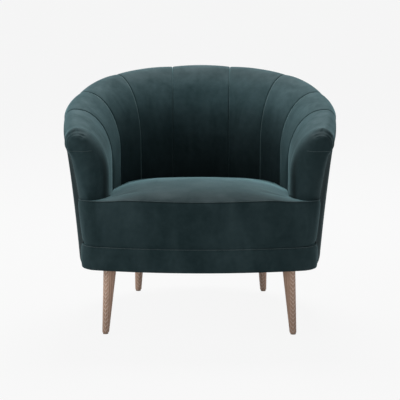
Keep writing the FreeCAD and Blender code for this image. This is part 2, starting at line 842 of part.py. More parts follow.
def outer_cover(places):
    """Outside cover between the base and the eave."""
    wires = []
    for place in places:
        s = Station(place)
        thick, eave = size("cover_thickness"), s.top - size("eave_drop") - gap
        heights = (base_z, (base_z + eave) / 2, eave)
        outer = [s.at(s.outer_s(z), z) for z in heights]
        inner = [s.at(s.outer_s(z) - thick, z) for z in heights]
        if s.waist:
            edges = [arc(*outer), line(outer[-1], inner[-1]), arc(*inner[::-1]), line(inner[0], outer[0])]
            wires.append(Part.Wire(edges))
        else:
            points = [outer[0], outer[-1], inner[-1], inner[0]]
            wires.append(Part.makePolygon(points + points[:1]))
    return Part.makeLoft(wires, True, False)


def outer_covers():
    joint = COVER_JOINT_CHANNEL_SHARE
    add_shape("outside_back_cover", outer_cover(section_places(-joint, joint)))
    add_pair("outside_arm_cover", outer_cover(section_places(joint, CHANNEL_COUNT_PER_SIDE + 0.5)))


def facing_section(y, inset):
    """Outline of the arm's front, drawn in by inset, at a depth y."""
    s = Station(CHANNEL_COUNT_PER_SIDE + 0.5)
    floor = seat_edge_z - size("seat_side_drop") / 2
    edges = [line(s.at(inset, floor), s.at(inset, s.top - s.shoulder()))]
    points = s.crown_points(inset)
    eave = points[-1]
    points[-1] = (eave[0] - inset, eave[1])
    points[-2] = (points[-2][0] - inset / 2, points[-2][1])
    p = [s.at(*point) for point in points]
    edges += [arc(p[0], p[1], p[2]), arc(p[2], p[3], p[4]), arc(p[4], p[5], p[6]), arc(p[6], p[7], p[8])]
    middle = (floor + s.top - size("eave_drop")) / 2
    edges.append(arc(p[8], s.at(s.outer_s(middle) - inset, middle), s.at(s.outer_s(floor) - inset, floor)))
    wire = closed_wire(edges, [])
    wire.translate(Vector(0, y - s.y, 0))
    return wire


def arm_fronts():
    """The padded front of each arm, with a cap over the end of the roll."""
    y = arm_front_y - gap
    wires = [
        facing_section(y, 0.0),
        facing_section(y - size("facing_first_depth"), size("facing_first_round")),
        facing_section(y - size("facing_depth"), size("facing_round")),
    ]
    whole = Part.makeLoft(wires, True, False)
    top = Station(CHANNEL_COUNT_PER_SIDE + 0.5).top
    width = 2 * crest_half_width
    split = top - size("cap_height")
    above = Part.makeBox(width, width, width, Vector(0, y - width / 2, split))
    add_pair("arm_cap", whole.common(above))
    above.translate(Vector(0, 0, -gap))
    add_pair("arm_facing", whole.cut(above).cut(seat_crown(-gap)))


def front_band():
    """Padded band along the foot of the front."""
    side_x = curve_x(BASE_CURVE, arm_front_y)
    outer = front_arcs(side_x, 0)
    inner = front_arcs(side_x, size("band_thickness"))
    ends = [line(outer[-1].EndPoint, inner[-1].EndPoint), line(inner[0].StartPoint, outer[0].StartPoint)]
    wire = Part.Wire(Part.sortEdges(shaped(outer) + shaped(inner) + ends)[0])
    face = Part.Face(wire)
    face.translate(Vector(0, 0, base_z))
    band = face.extrude(Vector(0, 0, size("band_height") - gap))
    targets = [halfway(edge) + Vector(0, 0, base_z) for edge in shaped(outer)]
    foot = [e for e in band.Edges if any((halfway(e) - t).Length < gap for t in targets)]
    add_shape("front_band", band.makeFillet(size("band_round"), foot))


# Seat

def seat_plan(z, inset, side_x):
    """Outline of the seat: a stem between the arms and a bar across their fronts."""
    end = math.degrees(math.acos(-size("arm_reach") / SEAT_CURVE[2]))
    bearings = [end, 90, 60, 30, 0, -30, -60, -90, -end]
    stem = curve_arcs(SEAT_CURVE, size("seat_side_clearance") + inset, bearings)
    front = front_arcs(side_x, inset)
    bar_back = arm_front_y - 2 * gap
    edges = []
    start, end_point = stem[0].StartPoint, stem[-1].EndPoint
    left, right = front[0].StartPoint, front[-1].EndPoint
    edges += [line(left, start)] + shaped(stem) + [line(end_point, right)] + shaped(front)
    wire = Part.Wire(Part.sortEdges(edges)[0])
    wire.translate(Vector(0, bar_back - arm_front_y, z))
    return wire


def seat_prism(inset, foot):
    side_x = curve_x(BASE_CURVE, arm_front_y) - size("border_step_in")
    top = seat_edge_z + 2 * size("seat_crown")
    share = (top - foot) / (seat_edge_z - band_top)
    low = seat_plan(foot, inset, side_x)
    high = seat_plan(top, inset, side_x + size("border_lean_out") * share)
    return Part.makeLoft([low, high], True, True)


def seat_crown(drop):
    """Solid under the crowned top: a broad middle, rounded shoulders and level ears."""
    depth = widest_y + size("seat_rear_reach") - front_y
    half = base_half_width + size("seat_crown")
    shoulder = curve_x(SEAT_CURVE, arm_front_y) - size("seat_side_clearance")
    flat = CROWN_FLAT_SHARE * shoulder
    low = seat_edge_z - size("seat_edge_height")
    wires = []
    for way, rise, side in CROWN_SHARES:
        y = front_y + way * depth
        middle = seat_edge_z + size("seat_crown") * rise - drop
        fall = size("seat_side_drop") * side
        start = middle - CROWN_FLAT_FALL_SHARE * fall
        bend_x = flat + (shoulder - flat) * BEND_ACROSS_SHARE
        bend_z = start - BEND_DOWN_SHARE * (1 - CROWN_FLAT_FALL_SHARE) * fall
        ear = middle - fall
        points = {}
        for sign in (-1, 1):
            points[sign] = [Vector(sign * x, y, z) for x, z in
                            ((half, ear), (shoulder, ear), (bend_x, bend_z), (flat, start))]
        a, b = points[-1], points[1]
        edges = [line(a[0], a[1]), arc(*a[1:]), arc(a[3], Vector(0, y, middle), b[3])]
        edges += [arc(*b[:0:-1]), line(b[1], b[0])]
        wires.append(closed_wire(edges, [Vector(half, y, low), Vector(-half, y, low)]))
    return Part.makeLoft(wires, True, False)


def seat():
    thick = size("seat_cover_thickness")
    springs_top = felt_bottom() + size("felt_thickness") + gap
    rail_front = arm_front_y - size("rail_thickness") - 2 * gap
    under = Part.makeBox(2 * base_half_width, 2 * base_rear_reach, springs_top - base_z,
                         Vector(-base_half_width, rail_front, base_z))
    foot = band_top + gap
    crown, core = seat_crown(0), seat_crown(thick)
    outer, inner = seat_prism(0, foot), seat_prism(thick, foot)
    foam = seat_prism(thick + gap, foot).common(seat_crown(thick + gap)).cut(under)
    add_shape("seat_foam", foam)
    add_shape("seat_top_cover", crown.cut(core).common(outer))
    ahead = Part.makeBox(2 * base_half_width, arm_front_y - 3 * gap - front_y, 2 * size("seat_edge_height"),
                         Vector(-base_half_width, front_y - gap, foot))
    border = outer.cut(inner).common(ahead).common(core)
    add_shape("seat_front_border", border)


def rail_span():
    """Expression for the distance over the side rails."""
    half = [cell("seat_half_width") + " + " + cell("side_wall"), cell("front_leg_side_inset"),
            cell("block_side") + " / 2", cell("fit_gap")]
    return "2 * (" + " - ".join(half) + ")"


def felt_bottom():
    """Underside of the felt: clear of the springs and of the tie wires on them."""
    return rail_top + 4 * size("spring_wire_radius") + 2 * size("tie_wire_radius") + gap


def spring_path(x, y0, y1, z):
    """Centreline of a zigzag spring: straight bars across, joined by round bends."""
    bend = (y1 - y0) / SPRING_BEND_COUNT / 2
    eighth = math.radians(45)
    half = size("spring_half_width") - bend
    edges = []
    side = 1
    y = y0
    here = Vector(x - half, y, z)
    for k in range(SPRING_BEND_COUNT):
        there = Vector(x + side * half, y, z)
        edges.append(line(here, there))
        tip = Vector(there.x + side * bend, y + bend, z)
        near = Vector(there.x + side * bend * math.sin(eighth), y + bend * (1 - math.cos(eighth)), z)
        far = Vector(near.x, y + bend * (1 + math.cos(eighth)), z)
        after = Vector(there.x, y + 2 * bend, z)
        edges += [arc(there, near, tip), arc(tip, far, after)]
        here, y, side = after, y + 2 * bend, -side
    edges.append(line(here, Vector(x + side * half, y, z)))
    return Part.Wire(edges)


def springs():
    wire_r = size("spring_wire_radius")
    y0 = arm_front_y - size("rail_thickness") / 2
    y1 = rail_rear_y() - size("rail_thickness") / 2
    z = rail_top + wire_r + gap
    path = spring_path(0, y0, y1, z)
    start = path.Edges[0].Vertexes[0].Point
    ring = Part.Wire(Part.makeCircle(wire_r, start, Vector(1, 0, 0)))
    one = path.makePipeShell([ring], True, False)
    wound, clips = [], []
    first = -(SPRING_COUNT - 1) / 2 * size("spring_spacing")
    bore = "2 * (" + cell("spring_wire_radius") + " + " + cell("fit_gap") + ")"
    for k in range(SPRING_COUNT):
        x = first + k * size("spring_spacing")
        copy = one.copy()
        copy.translate(Vector(x, 0, 0))
        wound.append(copy)
        for end, y in (("front", y0), ("rear", y1)):
            name = "clip_%s_%d" % (end, k)
            corner = Vector(x - size("clip_width") / 2, y - size("clip_depth") / 2, rail_top)
            block = primitive("Box", name + "_blank", corner, Length=cell("clip_width"),
                              Width=cell("clip_depth"), Height=bore + " + " + cell("clip_roof"))
            corner = Vector(x - size("clip_width"), y - wire_r - gap, rail_top)
            tunnel = primitive("Box", name + "_tunnel", corner, Length="2 * " + cell("clip_width"),
                               Width=bore, Height=bore)
            clips.append(combined("Cut", name, block, tunnel))
    add_shape("zigzag_springs", Part.makeCompound(wound))
    grouped("spring_clips", clips)
    outer = rail_outer_x()
    across = Rotation(Vector(0, 0, 1), Vector(1, 0, 0))
    across_rails = rail_span()
    ties = []
    for k in range(1, TIE_WIRE_COUNT + 1):
        y = y0 + (y1 - y0) * k / (TIE_WIRE_COUNT + 1)
        height = rail_top + 2 * wire_r + 2 * gap + size("tie_wire_radius")
        ties.append(primitive("Cylinder", "tie_wire_%d" % k, Placement(Vector(-outer, y, height), across),
                              Radius=cell("tie_wire_radius"), Height=across_rails))
    grouped("spring_tie_wires", ties)


def felt():
    """Felt pad between the springs and the foam."""
    outer, rear_face = rail_outer_x(), rail_rear_y()
    start = arm_front_y - size("rail_thickness")
    pad = primitive("Box", "seat_felt", Vector(-outer, start, felt_bottom()),
                    Length=rail_span(), Height=cell("felt_thickness"))
    pad.Width = rear_face - start
    add_node(pad, "seat_felt")


def dust_cover():
    """Black cloth under the base board, cut away round the leg plates."""
    edges = shaped(base_outline(board_inset() + gap))
    face = Part.Face(Part.Wire(Part.sortEdges(edges)[0]))
    thick = size("dust_cover_thickness")
    face.translate(Vector(0, 0, board_bottom - thick))
    cloth = face.extrude(Vector(0, 0, thick))
    half = size("plate_side") / 2 + 2 * gap
    for top, foot in LEGS.values():
        corner = Vector(top.x - half, top.y - half, board_bottom - 2 * thick)
        cloth = cloth.cut(Part.makeBox(2 * half, 2 * half, 3 * thick, corner))
    add_shape("dust_cover", cloth)


for name, (top, foot) in LEGS.items():
    make_leg(name, top, foot)
make_glides()
make_bolts_and_nuts()
make_plates_and_blocks()
base_board()
seat_rails()
bow_rail()
ribs()
rims()
linings()
springs()
felt()
seat()
channels()
arm_fronts()
outer_covers()
front_band()
dust_cover()

doc.recompute()
for item in doc.Objects:
    if any(word in item.State for word in ("Invalid", "Error")):
        raise RuntimeError("%s did not build: %s" % (item.Label, item.State))

os.makedirs("parts", exist_ok=True)
for piece in nodes:
    shape = piece.Shape
    if shape.isNull() or not shape.isValid() or not shape.Solids:
        raise RuntimeError("%s has no valid solid" % piece.Label)
    shape.exportStep("parts/%s.step" % piece.Label)
    print("%-24s solids %3d  volume %10.1f cm3" % (piece.Label, len(shape.Solids), shape.Volume / 1000))
print(len(nodes), "nodes")
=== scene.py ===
import json
import math

import bmesh
import bpy
import numpy as np
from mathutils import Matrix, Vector


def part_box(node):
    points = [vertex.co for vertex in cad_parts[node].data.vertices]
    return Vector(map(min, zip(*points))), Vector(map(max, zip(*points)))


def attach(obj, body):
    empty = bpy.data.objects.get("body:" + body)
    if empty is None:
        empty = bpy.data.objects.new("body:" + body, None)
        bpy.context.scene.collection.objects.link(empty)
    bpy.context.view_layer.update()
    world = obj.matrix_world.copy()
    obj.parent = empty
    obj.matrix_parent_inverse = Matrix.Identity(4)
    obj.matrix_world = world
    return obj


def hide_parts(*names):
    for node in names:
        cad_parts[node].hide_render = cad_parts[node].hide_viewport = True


# channel-backed tub armchair in dark velvet, dressed over its CAD frame
# metres, z up, the sitter faces -y, left is the sitter's left, +x

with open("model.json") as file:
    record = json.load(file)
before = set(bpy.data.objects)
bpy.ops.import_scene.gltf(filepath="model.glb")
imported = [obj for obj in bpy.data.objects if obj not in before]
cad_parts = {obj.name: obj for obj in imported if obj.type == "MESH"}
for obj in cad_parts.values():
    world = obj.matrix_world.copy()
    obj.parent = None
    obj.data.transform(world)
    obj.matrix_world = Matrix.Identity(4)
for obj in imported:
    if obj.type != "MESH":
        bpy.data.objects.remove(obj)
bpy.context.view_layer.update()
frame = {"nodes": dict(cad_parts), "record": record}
print("frame:", len(frame["nodes"]), "nodes")


# helpers for surfaces on a grid

def smoothStep(x, low, high):
    # 0 at low, 1 at high, an even s-curve between
    x = np.clip((x - low) / (high - low), 0.0, 1.0)
    return x * x * (3 - 2 * x)


def smoothTable(x, places, values):
    # cubic curve through the table, with the slope at each place taken from its neighbours
    places, values = np.asarray(places, float), np.asarray(values, float)
    slopes = np.gradient(values, places)
    k = np.clip(np.searchsorted(places, x) - 1, 0, len(places) - 2)
    run = places[k + 1] - places[k]
    t = np.clip((x - places[k]) / run, 0.0, 1.0)
    t2, t3 = t * t, t * t * t
    start = (2 * t3 - 3 * t2 + 1) * values[k] + (t3 - 2 * t2 + t) * run * slopes[k]
    return start + (3 * t2 - 2 * t3) * values[k + 1] + (t3 - t2) * run * slopes[k + 1]


def gridNormals(grid):
    # unit cross product of the two grid directions, across then along
    across = np.gradient(grid, axis=0)
    along = np.gradient(grid, axis=1)
    normal = np.cross(across, along)
    return normal / np.maximum(np.linalg.norm(normal, axis=2, keepdims=True), 1e-12)


def gridQuads(columns, rows, start=0):
    # four corners of each cell, turned so that across x along points outwards
    i, j = np.meshgrid(np.arange(columns - 1), np.arange(rows - 1), indexing="ij")
    a = start + i * rows + j
    return np.stack([a, a + rows, a + rows + 1, a + 1], axis=-1).reshape(-1, 4)


def rimQuads(columns, rows):
    # the wall between a front grid and its back grid, round the four edges
    total = columns * rows
    j, i = np.arange(rows - 1), np.arange(columns - 1)
    last = (columns - 1) * rows
    walls = [
        np.stack([j, j + 1, total + j + 1, total + j], axis=-1),
        np.stack([last + j + 1, last + j, total + last + j, total + last + j + 1], axis=-1),
        np.stack([(i + 1) * rows, i * rows, total + i * rows, total + (i + 1) * rows], axis=-1),
    ]
    top = i * rows + rows - 1
    walls.append(np.stack([top, top + rows, total + top + rows, total + top], axis=-1))
    return np.concatenate(walls)


def meshPiece(name, points, quads, seam=None, uv=None):
    # one object from whole arrays; corners that meet are merged, so poles and seams close
    mesh = bpy.data.meshes.new(name)
    mesh.from_pydata(points.reshape(-1, 3).tolist(), [], quads.tolist())
    if seam is not None:
        mark = mesh.attributes.new("seam", "FLOAT", "POINT")
        mark.data.foreach_set("value", np.ascontiguousarray(seam, dtype=np.float32).ravel())
    if uv is not None:
        layer = mesh.uv_layers.new(name="cloth")
        corner = np.empty(len(mesh.loops), dtype=np.int32)
        mesh.loops.foreach_get("vertex_index", corner)
        layer.data.foreach_set("uv", uv.reshape(-1, 2)[corner].astype(np.float32).ravel())
    piece = bpy.data.objects.new(name, mesh)
    bpy.context.scene.collection.objects.link(piece)
    mesh.validate()
    mesh.shade_smooth()
    return piece


def closeSeams(piece, distance=0.00002):
    # merges the corners that lie on each other
    work = bmesh.new()
    work.from_mesh(piece.data)
    bmesh.ops.remove_doubles(work, verts=work.verts[:], dist=distance)
    bmesh.ops.dissolve_degenerate(work, edges=work.edges[:], dist=distance / 4)
    work.to_mesh(piece.data)
    work.free()


def closedPad(name, front, back, seam=None, uv=None):
    # a closed pad: the front grid, the back grid turned round, and the wall between them
    columns, rows = front.shape[:2]
    points = np.concatenate([front.reshape(-1, 3), back.reshape(-1, 3)])
    behind = gridQuads(columns, rows, columns * rows)[:, ::-1]
    quads = np.concatenate([gridQuads(columns, rows), behind, rimQuads(columns, rows)])
    both = None if seam is None else np.concatenate([seam.ravel(), np.zeros(columns * rows)])
    uvBoth = None if uv is None else np.concatenate([uv.reshape(-1, 2), uv.reshape(-1, 2)])
    return meshPiece(name, points, quads, both, uvBoth)


def runLengths(grid, axis):
    # distance travelled along one direction of a grid, from its first line
    steps = np.linalg.norm(np.diff(grid, axis=axis), axis=2)
    zero = np.zeros_like(np.take(steps, [0], axis=axis))
    return np.cumsum(np.concatenate([zero, steps], axis=axis), axis=axis)


def clothMap(grid):
    # the cover's own flat measures, for its texture
    return np.stack([runLengths(grid, 0), runLengths(grid, 1)], axis=-1)


cordLook = {"steep": 0.85, "sameSense": 0.7, "tip": 0.02}


def tubePiece(name, path, radius, around=8):
    # a round cord: a circle carried along the path, square to it, drawn to a point at both ends
    path = np.asarray(path, float)
    ahead = np.gradient(path, axis=0)
    ahead /= np.maximum(np.linalg.norm(ahead, axis=1, keepdims=True), 1e-12)
    guide = np.tile([0.0, 0.0, 1.0], (len(path), 1))
    steep = np.abs(ahead[:, 2]) > cordLook["steep"]
    guide[steep] = [0.0, 1.0, 0.0]
    side = np.cross(ahead, guide)
    side /= np.linalg.norm(side, axis=1, keepdims=True)
    for k in range(1, len(path)):  # the side direction keeps its sense from ring to ring
        if np.dot(side[k], side[k - 1]) < cordLook["sameSense"]:
            side[k] = side[k - 1] - ahead[k] * np.dot(side[k - 1], ahead[k])
            side[k] /= np.linalg.norm(side[k])
    up = np.cross(side, ahead)
    turn = np.linspace(0, 2 * np.pi, around, endpoint=False)
    width = np.full(len(path), radius)
    width[0] = width[-1] = radius * cordLook["tip"]
    ring = np.cos(turn)[None, :, None] * side[:, None] + np.sin(turn)[None, :, None] * up[:, None]
    points = path[:, None] + ring * width[:, None, None]
    i, j = np.meshgrid(np.arange(len(path) - 1), np.arange(around), indexing="ij")
    a, b = i * around + j, i * around + (j + 1) % around
    quads = np.stack([a, a + around, b + around, b], axis=-1).reshape(-1, 4)
    return meshPiece(name, points, quads)


def vertexPlaces(mesh):
    points = np.empty(len(mesh.vertices) * 3)
    mesh.vertices.foreach_get("co", points)
    return points.reshape(-1, 3)


def dress(piece, material, slotName, *nodes, fill=None):
    # rides on the chair's one body, stands for its nodes and takes its material
    piece.data.materials.clear()
    piece.data.materials.append(material)
    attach(piece, "root")
    if nodes:
        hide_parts(*nodes)
    return piece


def refine(piece):
    smooth = piece.modifiers.new("smooth", "SUBSURF")
    smooth.levels = smooth.render_levels = 1
    smooth.boundary_smooth = "PRESERVE_CORNERS"
    return piece


clothLook = {"frames": 16, "pressure": 3.0, "stiffness": 18.0, "bending": 0.8, "mass": 0.3, "quality": 5}


def pushedOut(piece, pad):
    # the padding pushes its cover out as simulated cloth, held at the seams and behind,
    # and no vertex goes further than the pad's own limit
    look, limit = clothLook, pad["pushLimit"]
    # only the inside of the pad's front grid is free to move
    held = np.ones((2, pad["columns"], len(piece.data.vertices) // (2 * pad["columns"])), bool)
    held[0, pad["heldRim"]:-pad["heldRim"], pad["freeRows"][0]:pad["freeRows"][1]] = False
    group = piece.vertex_groups.new(name="held")
    group.add(np.flatnonzero(held).tolist(), 1.0, "REPLACE")
    cloth = piece.modifiers.new("cloth", "CLOTH")
    settings = cloth.settings
    settings.vertex_group_mass = "held"
    settings.mass, settings.quality = look["mass"], look["quality"]
    settings.tension_stiffness = settings.compression_stiffness = look["stiffness"]
    settings.shear_stiffness = look["stiffness"]
    settings.bending_stiffness = look["bending"]
    settings.use_pressure, settings.uniform_pressure_force = True, look["pressure"]
    settings.effector_weights.gravity = 0.0
    cloth.point_cache.frame_start, cloth.point_cache.frame_end = 1, look["frames"]
    for step in range(1, look["frames"] + 1):
        bpy.context.scene.frame_set(step)
    settled = piece.evaluated_get(bpy.context.evaluated_depsgraph_get()).data
    before = vertexPlaces(piece.data)
    move = vertexPlaces(settled) - before
    far = np.linalg.norm(move, axis=1, keepdims=True)
    move = move * (limit * np.tanh(far / limit) / np.maximum(far, 1e-9))
    piece.modifiers.remove(cloth)
    piece.vertex_groups.remove(group)
    piece.data.vertices.foreach_set("co", (before + move).ravel())
    piece.data.update()
    bpy.context.scene.frame_set(1)
    print("cloth:", piece.name, "moved by up to %.1f mm" % (1000 * np.linalg.norm(move, axis=1).max()))


# shape of the tub, the same sizes as the frame has

tub = {
    "base": 0.203, "padLow": 0.335,
    "widestY": -0.071, "armReach": 0.228, "frontReach": 0.326,
    "armHeight": 0.407, "backHeight": 0.513, "crestSag": 0.018, "crestTurn": 0.72, "crestBow": 0.1235,
    "seatCurve": (0.269, 0.280, 1.100),
    "baseCurve": (0.366, 0.396, 0.690),
    "crestCurve": (0.380, 0.4345, 0.722),
    "seams": (0.0, 0.5, 1.5, 2.5, 3.5, 4.5),
    "crestBearings": (0.0, 14.3, 44.4, 70.0, 90.0, 132.0),
    "seatBearings": (0.0, 19.0, 43.6, 66.2, 84.0, 132.0),
    "armRun": 42.0,
    "roll": 0.0335, "eaveOut": 0.021, "eaveDrop": 0.066,
    "rollPlaces": (3.3, 3.9, 4.3, 4.5), "rollWidths": (0.0, -0.0050, -0.0042, 0.0010),
    "rollSink": 0.0085, "eaveSink": 0.008, "sinkRun": (3.5, 4.5), "rollFlat": 0.001, "eaveSlack": 0.72,
    "crestPad": 0.0045, "padStart": (1.0, 1.8), "padEnd": (3.6, 4.5),
    "armShoulder": 0.150, "backShoulder": 0.220,
    "waist": 0.0052, "waistStart": 3.2, "footSpan": 0.32, "halvings": 40,
}
lastSeam = tub["seams"][-1]
armFrontY = tub["widestY"] - tub["armReach"]
crestRearY = tub["widestY"] + tub["crestCurve"][1]
frontY = tub["widestY"] - tub["frontReach"]


def crestHeight(y):
    # rises from the arms to the back along a line that sags in the arms and levels out behind
    share = (y - armFrontY) / (crestRearY - armFrontY)
    bow = share * (1 - share) * (1 - share / tub["crestTurn"]) / tub["crestBow"]
    rise = tub["backHeight"] - tub["armHeight"]
    return tub["base"] + tub["armHeight"] + rise * share - tub["crestSag"] * bow


def curveX(curve, y):
    # half width of a plan curve at a depth
    reach = np.where(y >= tub["widestY"], curve[1], curve[2])
    return curve[0] * np.sqrt(np.clip(1 - ((y - tub["widestY"]) / reach) ** 2, 0, 1))


def tubPoint(curve, bearing):
    # ellipse by bearing to the widest line, then evenly along the arm
    turn = np.radians(np.minimum(bearing, 90.0))
    armY = tub["widestY"] - tub["armReach"] * (bearing - 90.0) / tub["armRun"]
    x = np.where(bearing <= 90, curve[0] * np.sin(turn), curveX(curve, np.minimum(armY, tub["widestY"])))
    y = np.where(bearing <= 90, tub["widestY"] + curve[1] * np.cos(turn), armY)
    return x, y


def stationsAt(place):
    # upright planes through the wall: foot on the seat curve, way out to the crest curve
    place = np.atleast_1d(np.asarray(place, float))
    away = np.abs(place)
    crestX, crestY = tubPoint(tub["crestCurve"], np.interp(away, tub["seams"], tub["crestBearings"]))
    x, y = tubPoint(tub["seatCurve"], np.interp(away, tub["seams"], tub["seatBearings"]))
    reach = np.hypot(crestX - x, crestY - y)
    top = crestHeight(crestY)
    share = (top - tub["base"] - tub["armHeight"]) / (tub["backHeight"] - tub["armHeight"])
    past = np.clip((away - tub["waistStart"]) / (lastSeam - tub["waistStart"]), 0, None)
    padded = smoothStep(away, *tub["padStart"]) * (1 - smoothStep(away, *tub["padEnd"]))
    top = top + tub["crestPad"] * padded
    front = smoothStep(away, *tub["sinkRun"])
    return {
        "side": np.where(place < 0, -1.0, 1.0), "x": x, "y": y, "reach": reach, "top": top,
        "roll": tub["roll"] + smoothTable(away, tub["rollPlaces"], tub["rollWidths"]),
        "rollDrop": tub["roll"] + tub["rollSink"] * front,
        "eave": tub["eaveDrop"] + tub["eaveSink"] * front,
        "alongX": (crestX - x) / reach, "alongY": (crestY - y) / reach,
        "shoulder": tub["armShoulder"] + share * (tub["backShoulder"] - tub["armShoulder"]),
        "waist": tub["waist"] * past ** 2,
    }


def wallPoints(st, s, z):
    # places out from the inner face and up, turned into the chair's own directions
    x = st["side"][:, None] * (st["x"][:, None] + s * st["alongX"][:, None])
    y = st["y"][:, None] + s * st["alongY"][:, None]
    return np.stack(np.broadcast_arrays(x, y, z), axis=-1)


def footOut(st):
    # where each plane crosses the outline of the base, found by halving
    low, high = np.zeros(len(st["x"])), np.full(len(st["x"]), tub["footSpan"])
    for _ in range(tub["halvings"]):
        middle = (low + high) / 2
        inside = st["x"] + middle * st["alongX"] < curveX(tub["baseCurve"], st["y"] + middle * st["alongY"])
        low, high = np.where(inside, middle, low), np.where(inside, high, middle)
    return low


def outerOut(st, z):
    # outer face from the base to the eave, a little hollow beside the arms
    share = (z - tub["base"]) / (st["top"] - st["eave"] - tub["base"])[:, None]
    foot = footOut(st)[:, None]
    hollow = 4 * st["waist"][:, None] * share * (1 - share)
    return foot + share * (st["reach"][:, None] + tub["eaveOut"] - foot) - hollow


joinLook = {
    "heights": (0.203, 0.258, 0.272, 0.325, 0.405, 0.456, 0.510, 0.534),
    "widths": (0.3450, 0.3444, 0.3432, 0.3468, 0.3520, 0.3600, 0.3705, 0.3770), "reach": 0.040,
}


def drawnIn(points):
    # towards the front the outside runs in to the line where it meets the facing and the border
    st = stationsAt(lastSeam)
    height = points[..., 2]
    wide = st["x"] + outerOut(st, height.reshape(1, -1)) * st["alongX"]
    inset = np.interp(height, joinLook["heights"], joinLook["widths"]) - wide.reshape(height.shape)
    inset = np.where(height < joinLook["heights"][-1], np.minimum(inset, 0), 0)
    share = 1 - smoothStep(points[..., 1], armFrontY, armFrontY + joinLook["reach"])
    points = points.copy()
    points[..., 0] += np.sign(points[..., 0]) * inset * share
    return points


pathRows = {"foot": 14, "shoulder": 34, "roll": 14, "fall": 8}


def overRim(st, fine=1):
    # line over the wall: up the inner face, a quarter ellipse over the shoulder,
    # a quarter round over the roll, then a slack curve down to the eave
    reach, top, drop = st["reach"][:, None], st["top"][:, None], st["shoulder"][:, None]
    start = top - drop
    roll, rollDrop, eave = st["roll"][:, None], st["rollDrop"][:, None], st["eave"][:, None]
    q = np.linspace(0, 1, pathRows["foot"] * fine, endpoint=False)[None]
    lines = [(np.zeros((len(reach), q.size)), tub["padLow"] + q * (start - tub["padLow"]))]
    turn = np.linspace(0, np.pi / 2, pathRows["shoulder"] * fine, endpoint=False)[None]
    lines.append((reach * (1 - np.cos(turn)), start + drop * np.sin(turn)))
    turn = np.linspace(0, np.pi / 2, pathRows["roll"] * fine, endpoint=False)[None]
    lines.append((reach + roll * np.sin(turn), top - rollDrop * (1 - np.cos(turn))))
    q = np.linspace(0, 1, pathRows["fall"] * fine)[None]
    out = (1 - q) ** 2 * roll + 2 * q * (1 - q) * (roll + tub["rollFlat"]) + q ** 2 * tub["eaveOut"]
    down = (1 - q) ** 2 * rollDrop + 2 * q * (1 - q) * eave * tub["eaveSlack"] + q ** 2 * eave
    lines.append((reach + out, top - down))
    return np.concatenate([s for s, z in lines], axis=1), np.concatenate([z for s, z in lines], axis=1)


# velvet channels of the back and arms

channelLook = {
    "columns": 34, "crown": 0.0030, "crownPower": 2.2, "proud": 0.0022,
    "lip": 0.0044, "lipDepth": 0.0032, "thickness": 0.032, "seamWidth": 0.0018, "seamLight": 0.0026,
    "seamBright": (0.20, 0.45, 1.6, 1.9), "seamOffset": (0.0, 0.0, 0.0026, 0.0030), "seamDim": 0.12,
    "crowding": 1.7, "backSkin": 0.004, "thinShare": 0.5, "thinRun": (0.55, 0.80),
    "heldRim": 6, "freeRows": (3, 60), "pushLimit": 0.0025,
}


def seamedColumns(count):
    # places across a channel, -1 to 1, drawn together towards its seams
    t = np.linspace(-1, 1, count)
    return np.sign(t) * (1 - (1 - np.abs(t)) ** channelLook["crowding"])


def sunk(distance, u, look):
    # depth below the wall's line: a shallow crown across, and a quarter-round lip at the seam
    lip = np.clip(1 - distance / look["lip"], 0, 1)
    lipDrop = look["lipDepth"] * (1 - np.sqrt(np.clip(1 - lip ** 2, 0, 1)))
    return -look["proud"] + look["crown"] * np.abs(u) ** look["crownPower"] + lipDrop


def channelPad(name, number):
    # the wall's line between two seams, sunk at both, with a tucked end under the eave
    look = channelLook
    u = seamedColumns(look["columns"])
    st = stationsAt(number + u / 2)
    s, z = overRim(st)
    base = wallPoints(st, s, z)
    normal = gridNormals(base)
    across = runLengths(base, 0)
    rest = across[-1:] - across
    front = base - normal * sunk(np.minimum(across, rest), u[:, None], look)[..., None]
    # thinner round the roll, so that the back of the pad doesn't cross itself
    thin = look["thinShare"] * smoothStep(np.linspace(0, 1, s.shape[1]), *look["thinRun"])
    back = base - normal * (look["thickness"] * (1 - thin)[None, :, None] + look["backSkin"])
    # a painted highlight along the seam on the edge nearer the middle of the chair, a dimmer one on the
    # other edge
    near, away = (across, rest) if number > 0 else (rest, across)
    near = np.minimum(near, away) if number == 0 else near
    near = (near - look["seamOffset"][abs(number)]) / look["seamLight"]
    bright = look["seamBright"][abs(number)] * np.exp(-near ** 2)
    seam = np.maximum(bright, look["seamDim"] * np.exp(-(away / look["seamWidth"]) ** 2))
    return closedPad(name, front, back, seam, clothMap(base))


# front of each arm: the last channel runs round a broad corner into the facing

armLook = {
    "columns": 46, "levels": 54, "wide": 44, "footRows": 7, "fine": 3, "fallRows": 60, "fallFade": 6,
    "crowding": 1.1, "levelCrowding": 1.5,
    "depth": 0.041, "slim": 0.004, "skin": 0.003, "floor": 0.394, "outerStart": 0.0020,
    "innerStart": 0.085, "middleStart": 0.0527, "topStart": 0.004, "outStart": 0.002,
    "innerRound": 0.060, "innerRun": (0.10, 0.01), "topRound": 0.026, "bulge": 0.004,
    "outerRounds": (0.034, 0.018, 0.012, 0.026), "outerMiddle": 0.50, "outerTop": 0.06,
    "pleats": ((1.0, 0.0034), (0.80, 0.0024), (0.61, 0.0015)), "pleatWidth": 0.055,
    "arch": (-0.005, 0.0385, 0.037, 0.033), "innerTurns": (0.55, 1.15), "outerTurns": (1.6, 2.1),
    "archSink": 0.0022, "sinkRings": (0.0, 0.5, 0.94, 1.0),
    "crownRun": 2.2, "sunkRun": (0.6, 1.0), "sunkRows": 70,
    "capSeam": 0.0625, "capPoints": (14, -3), "capRadius": 0.0008,
}


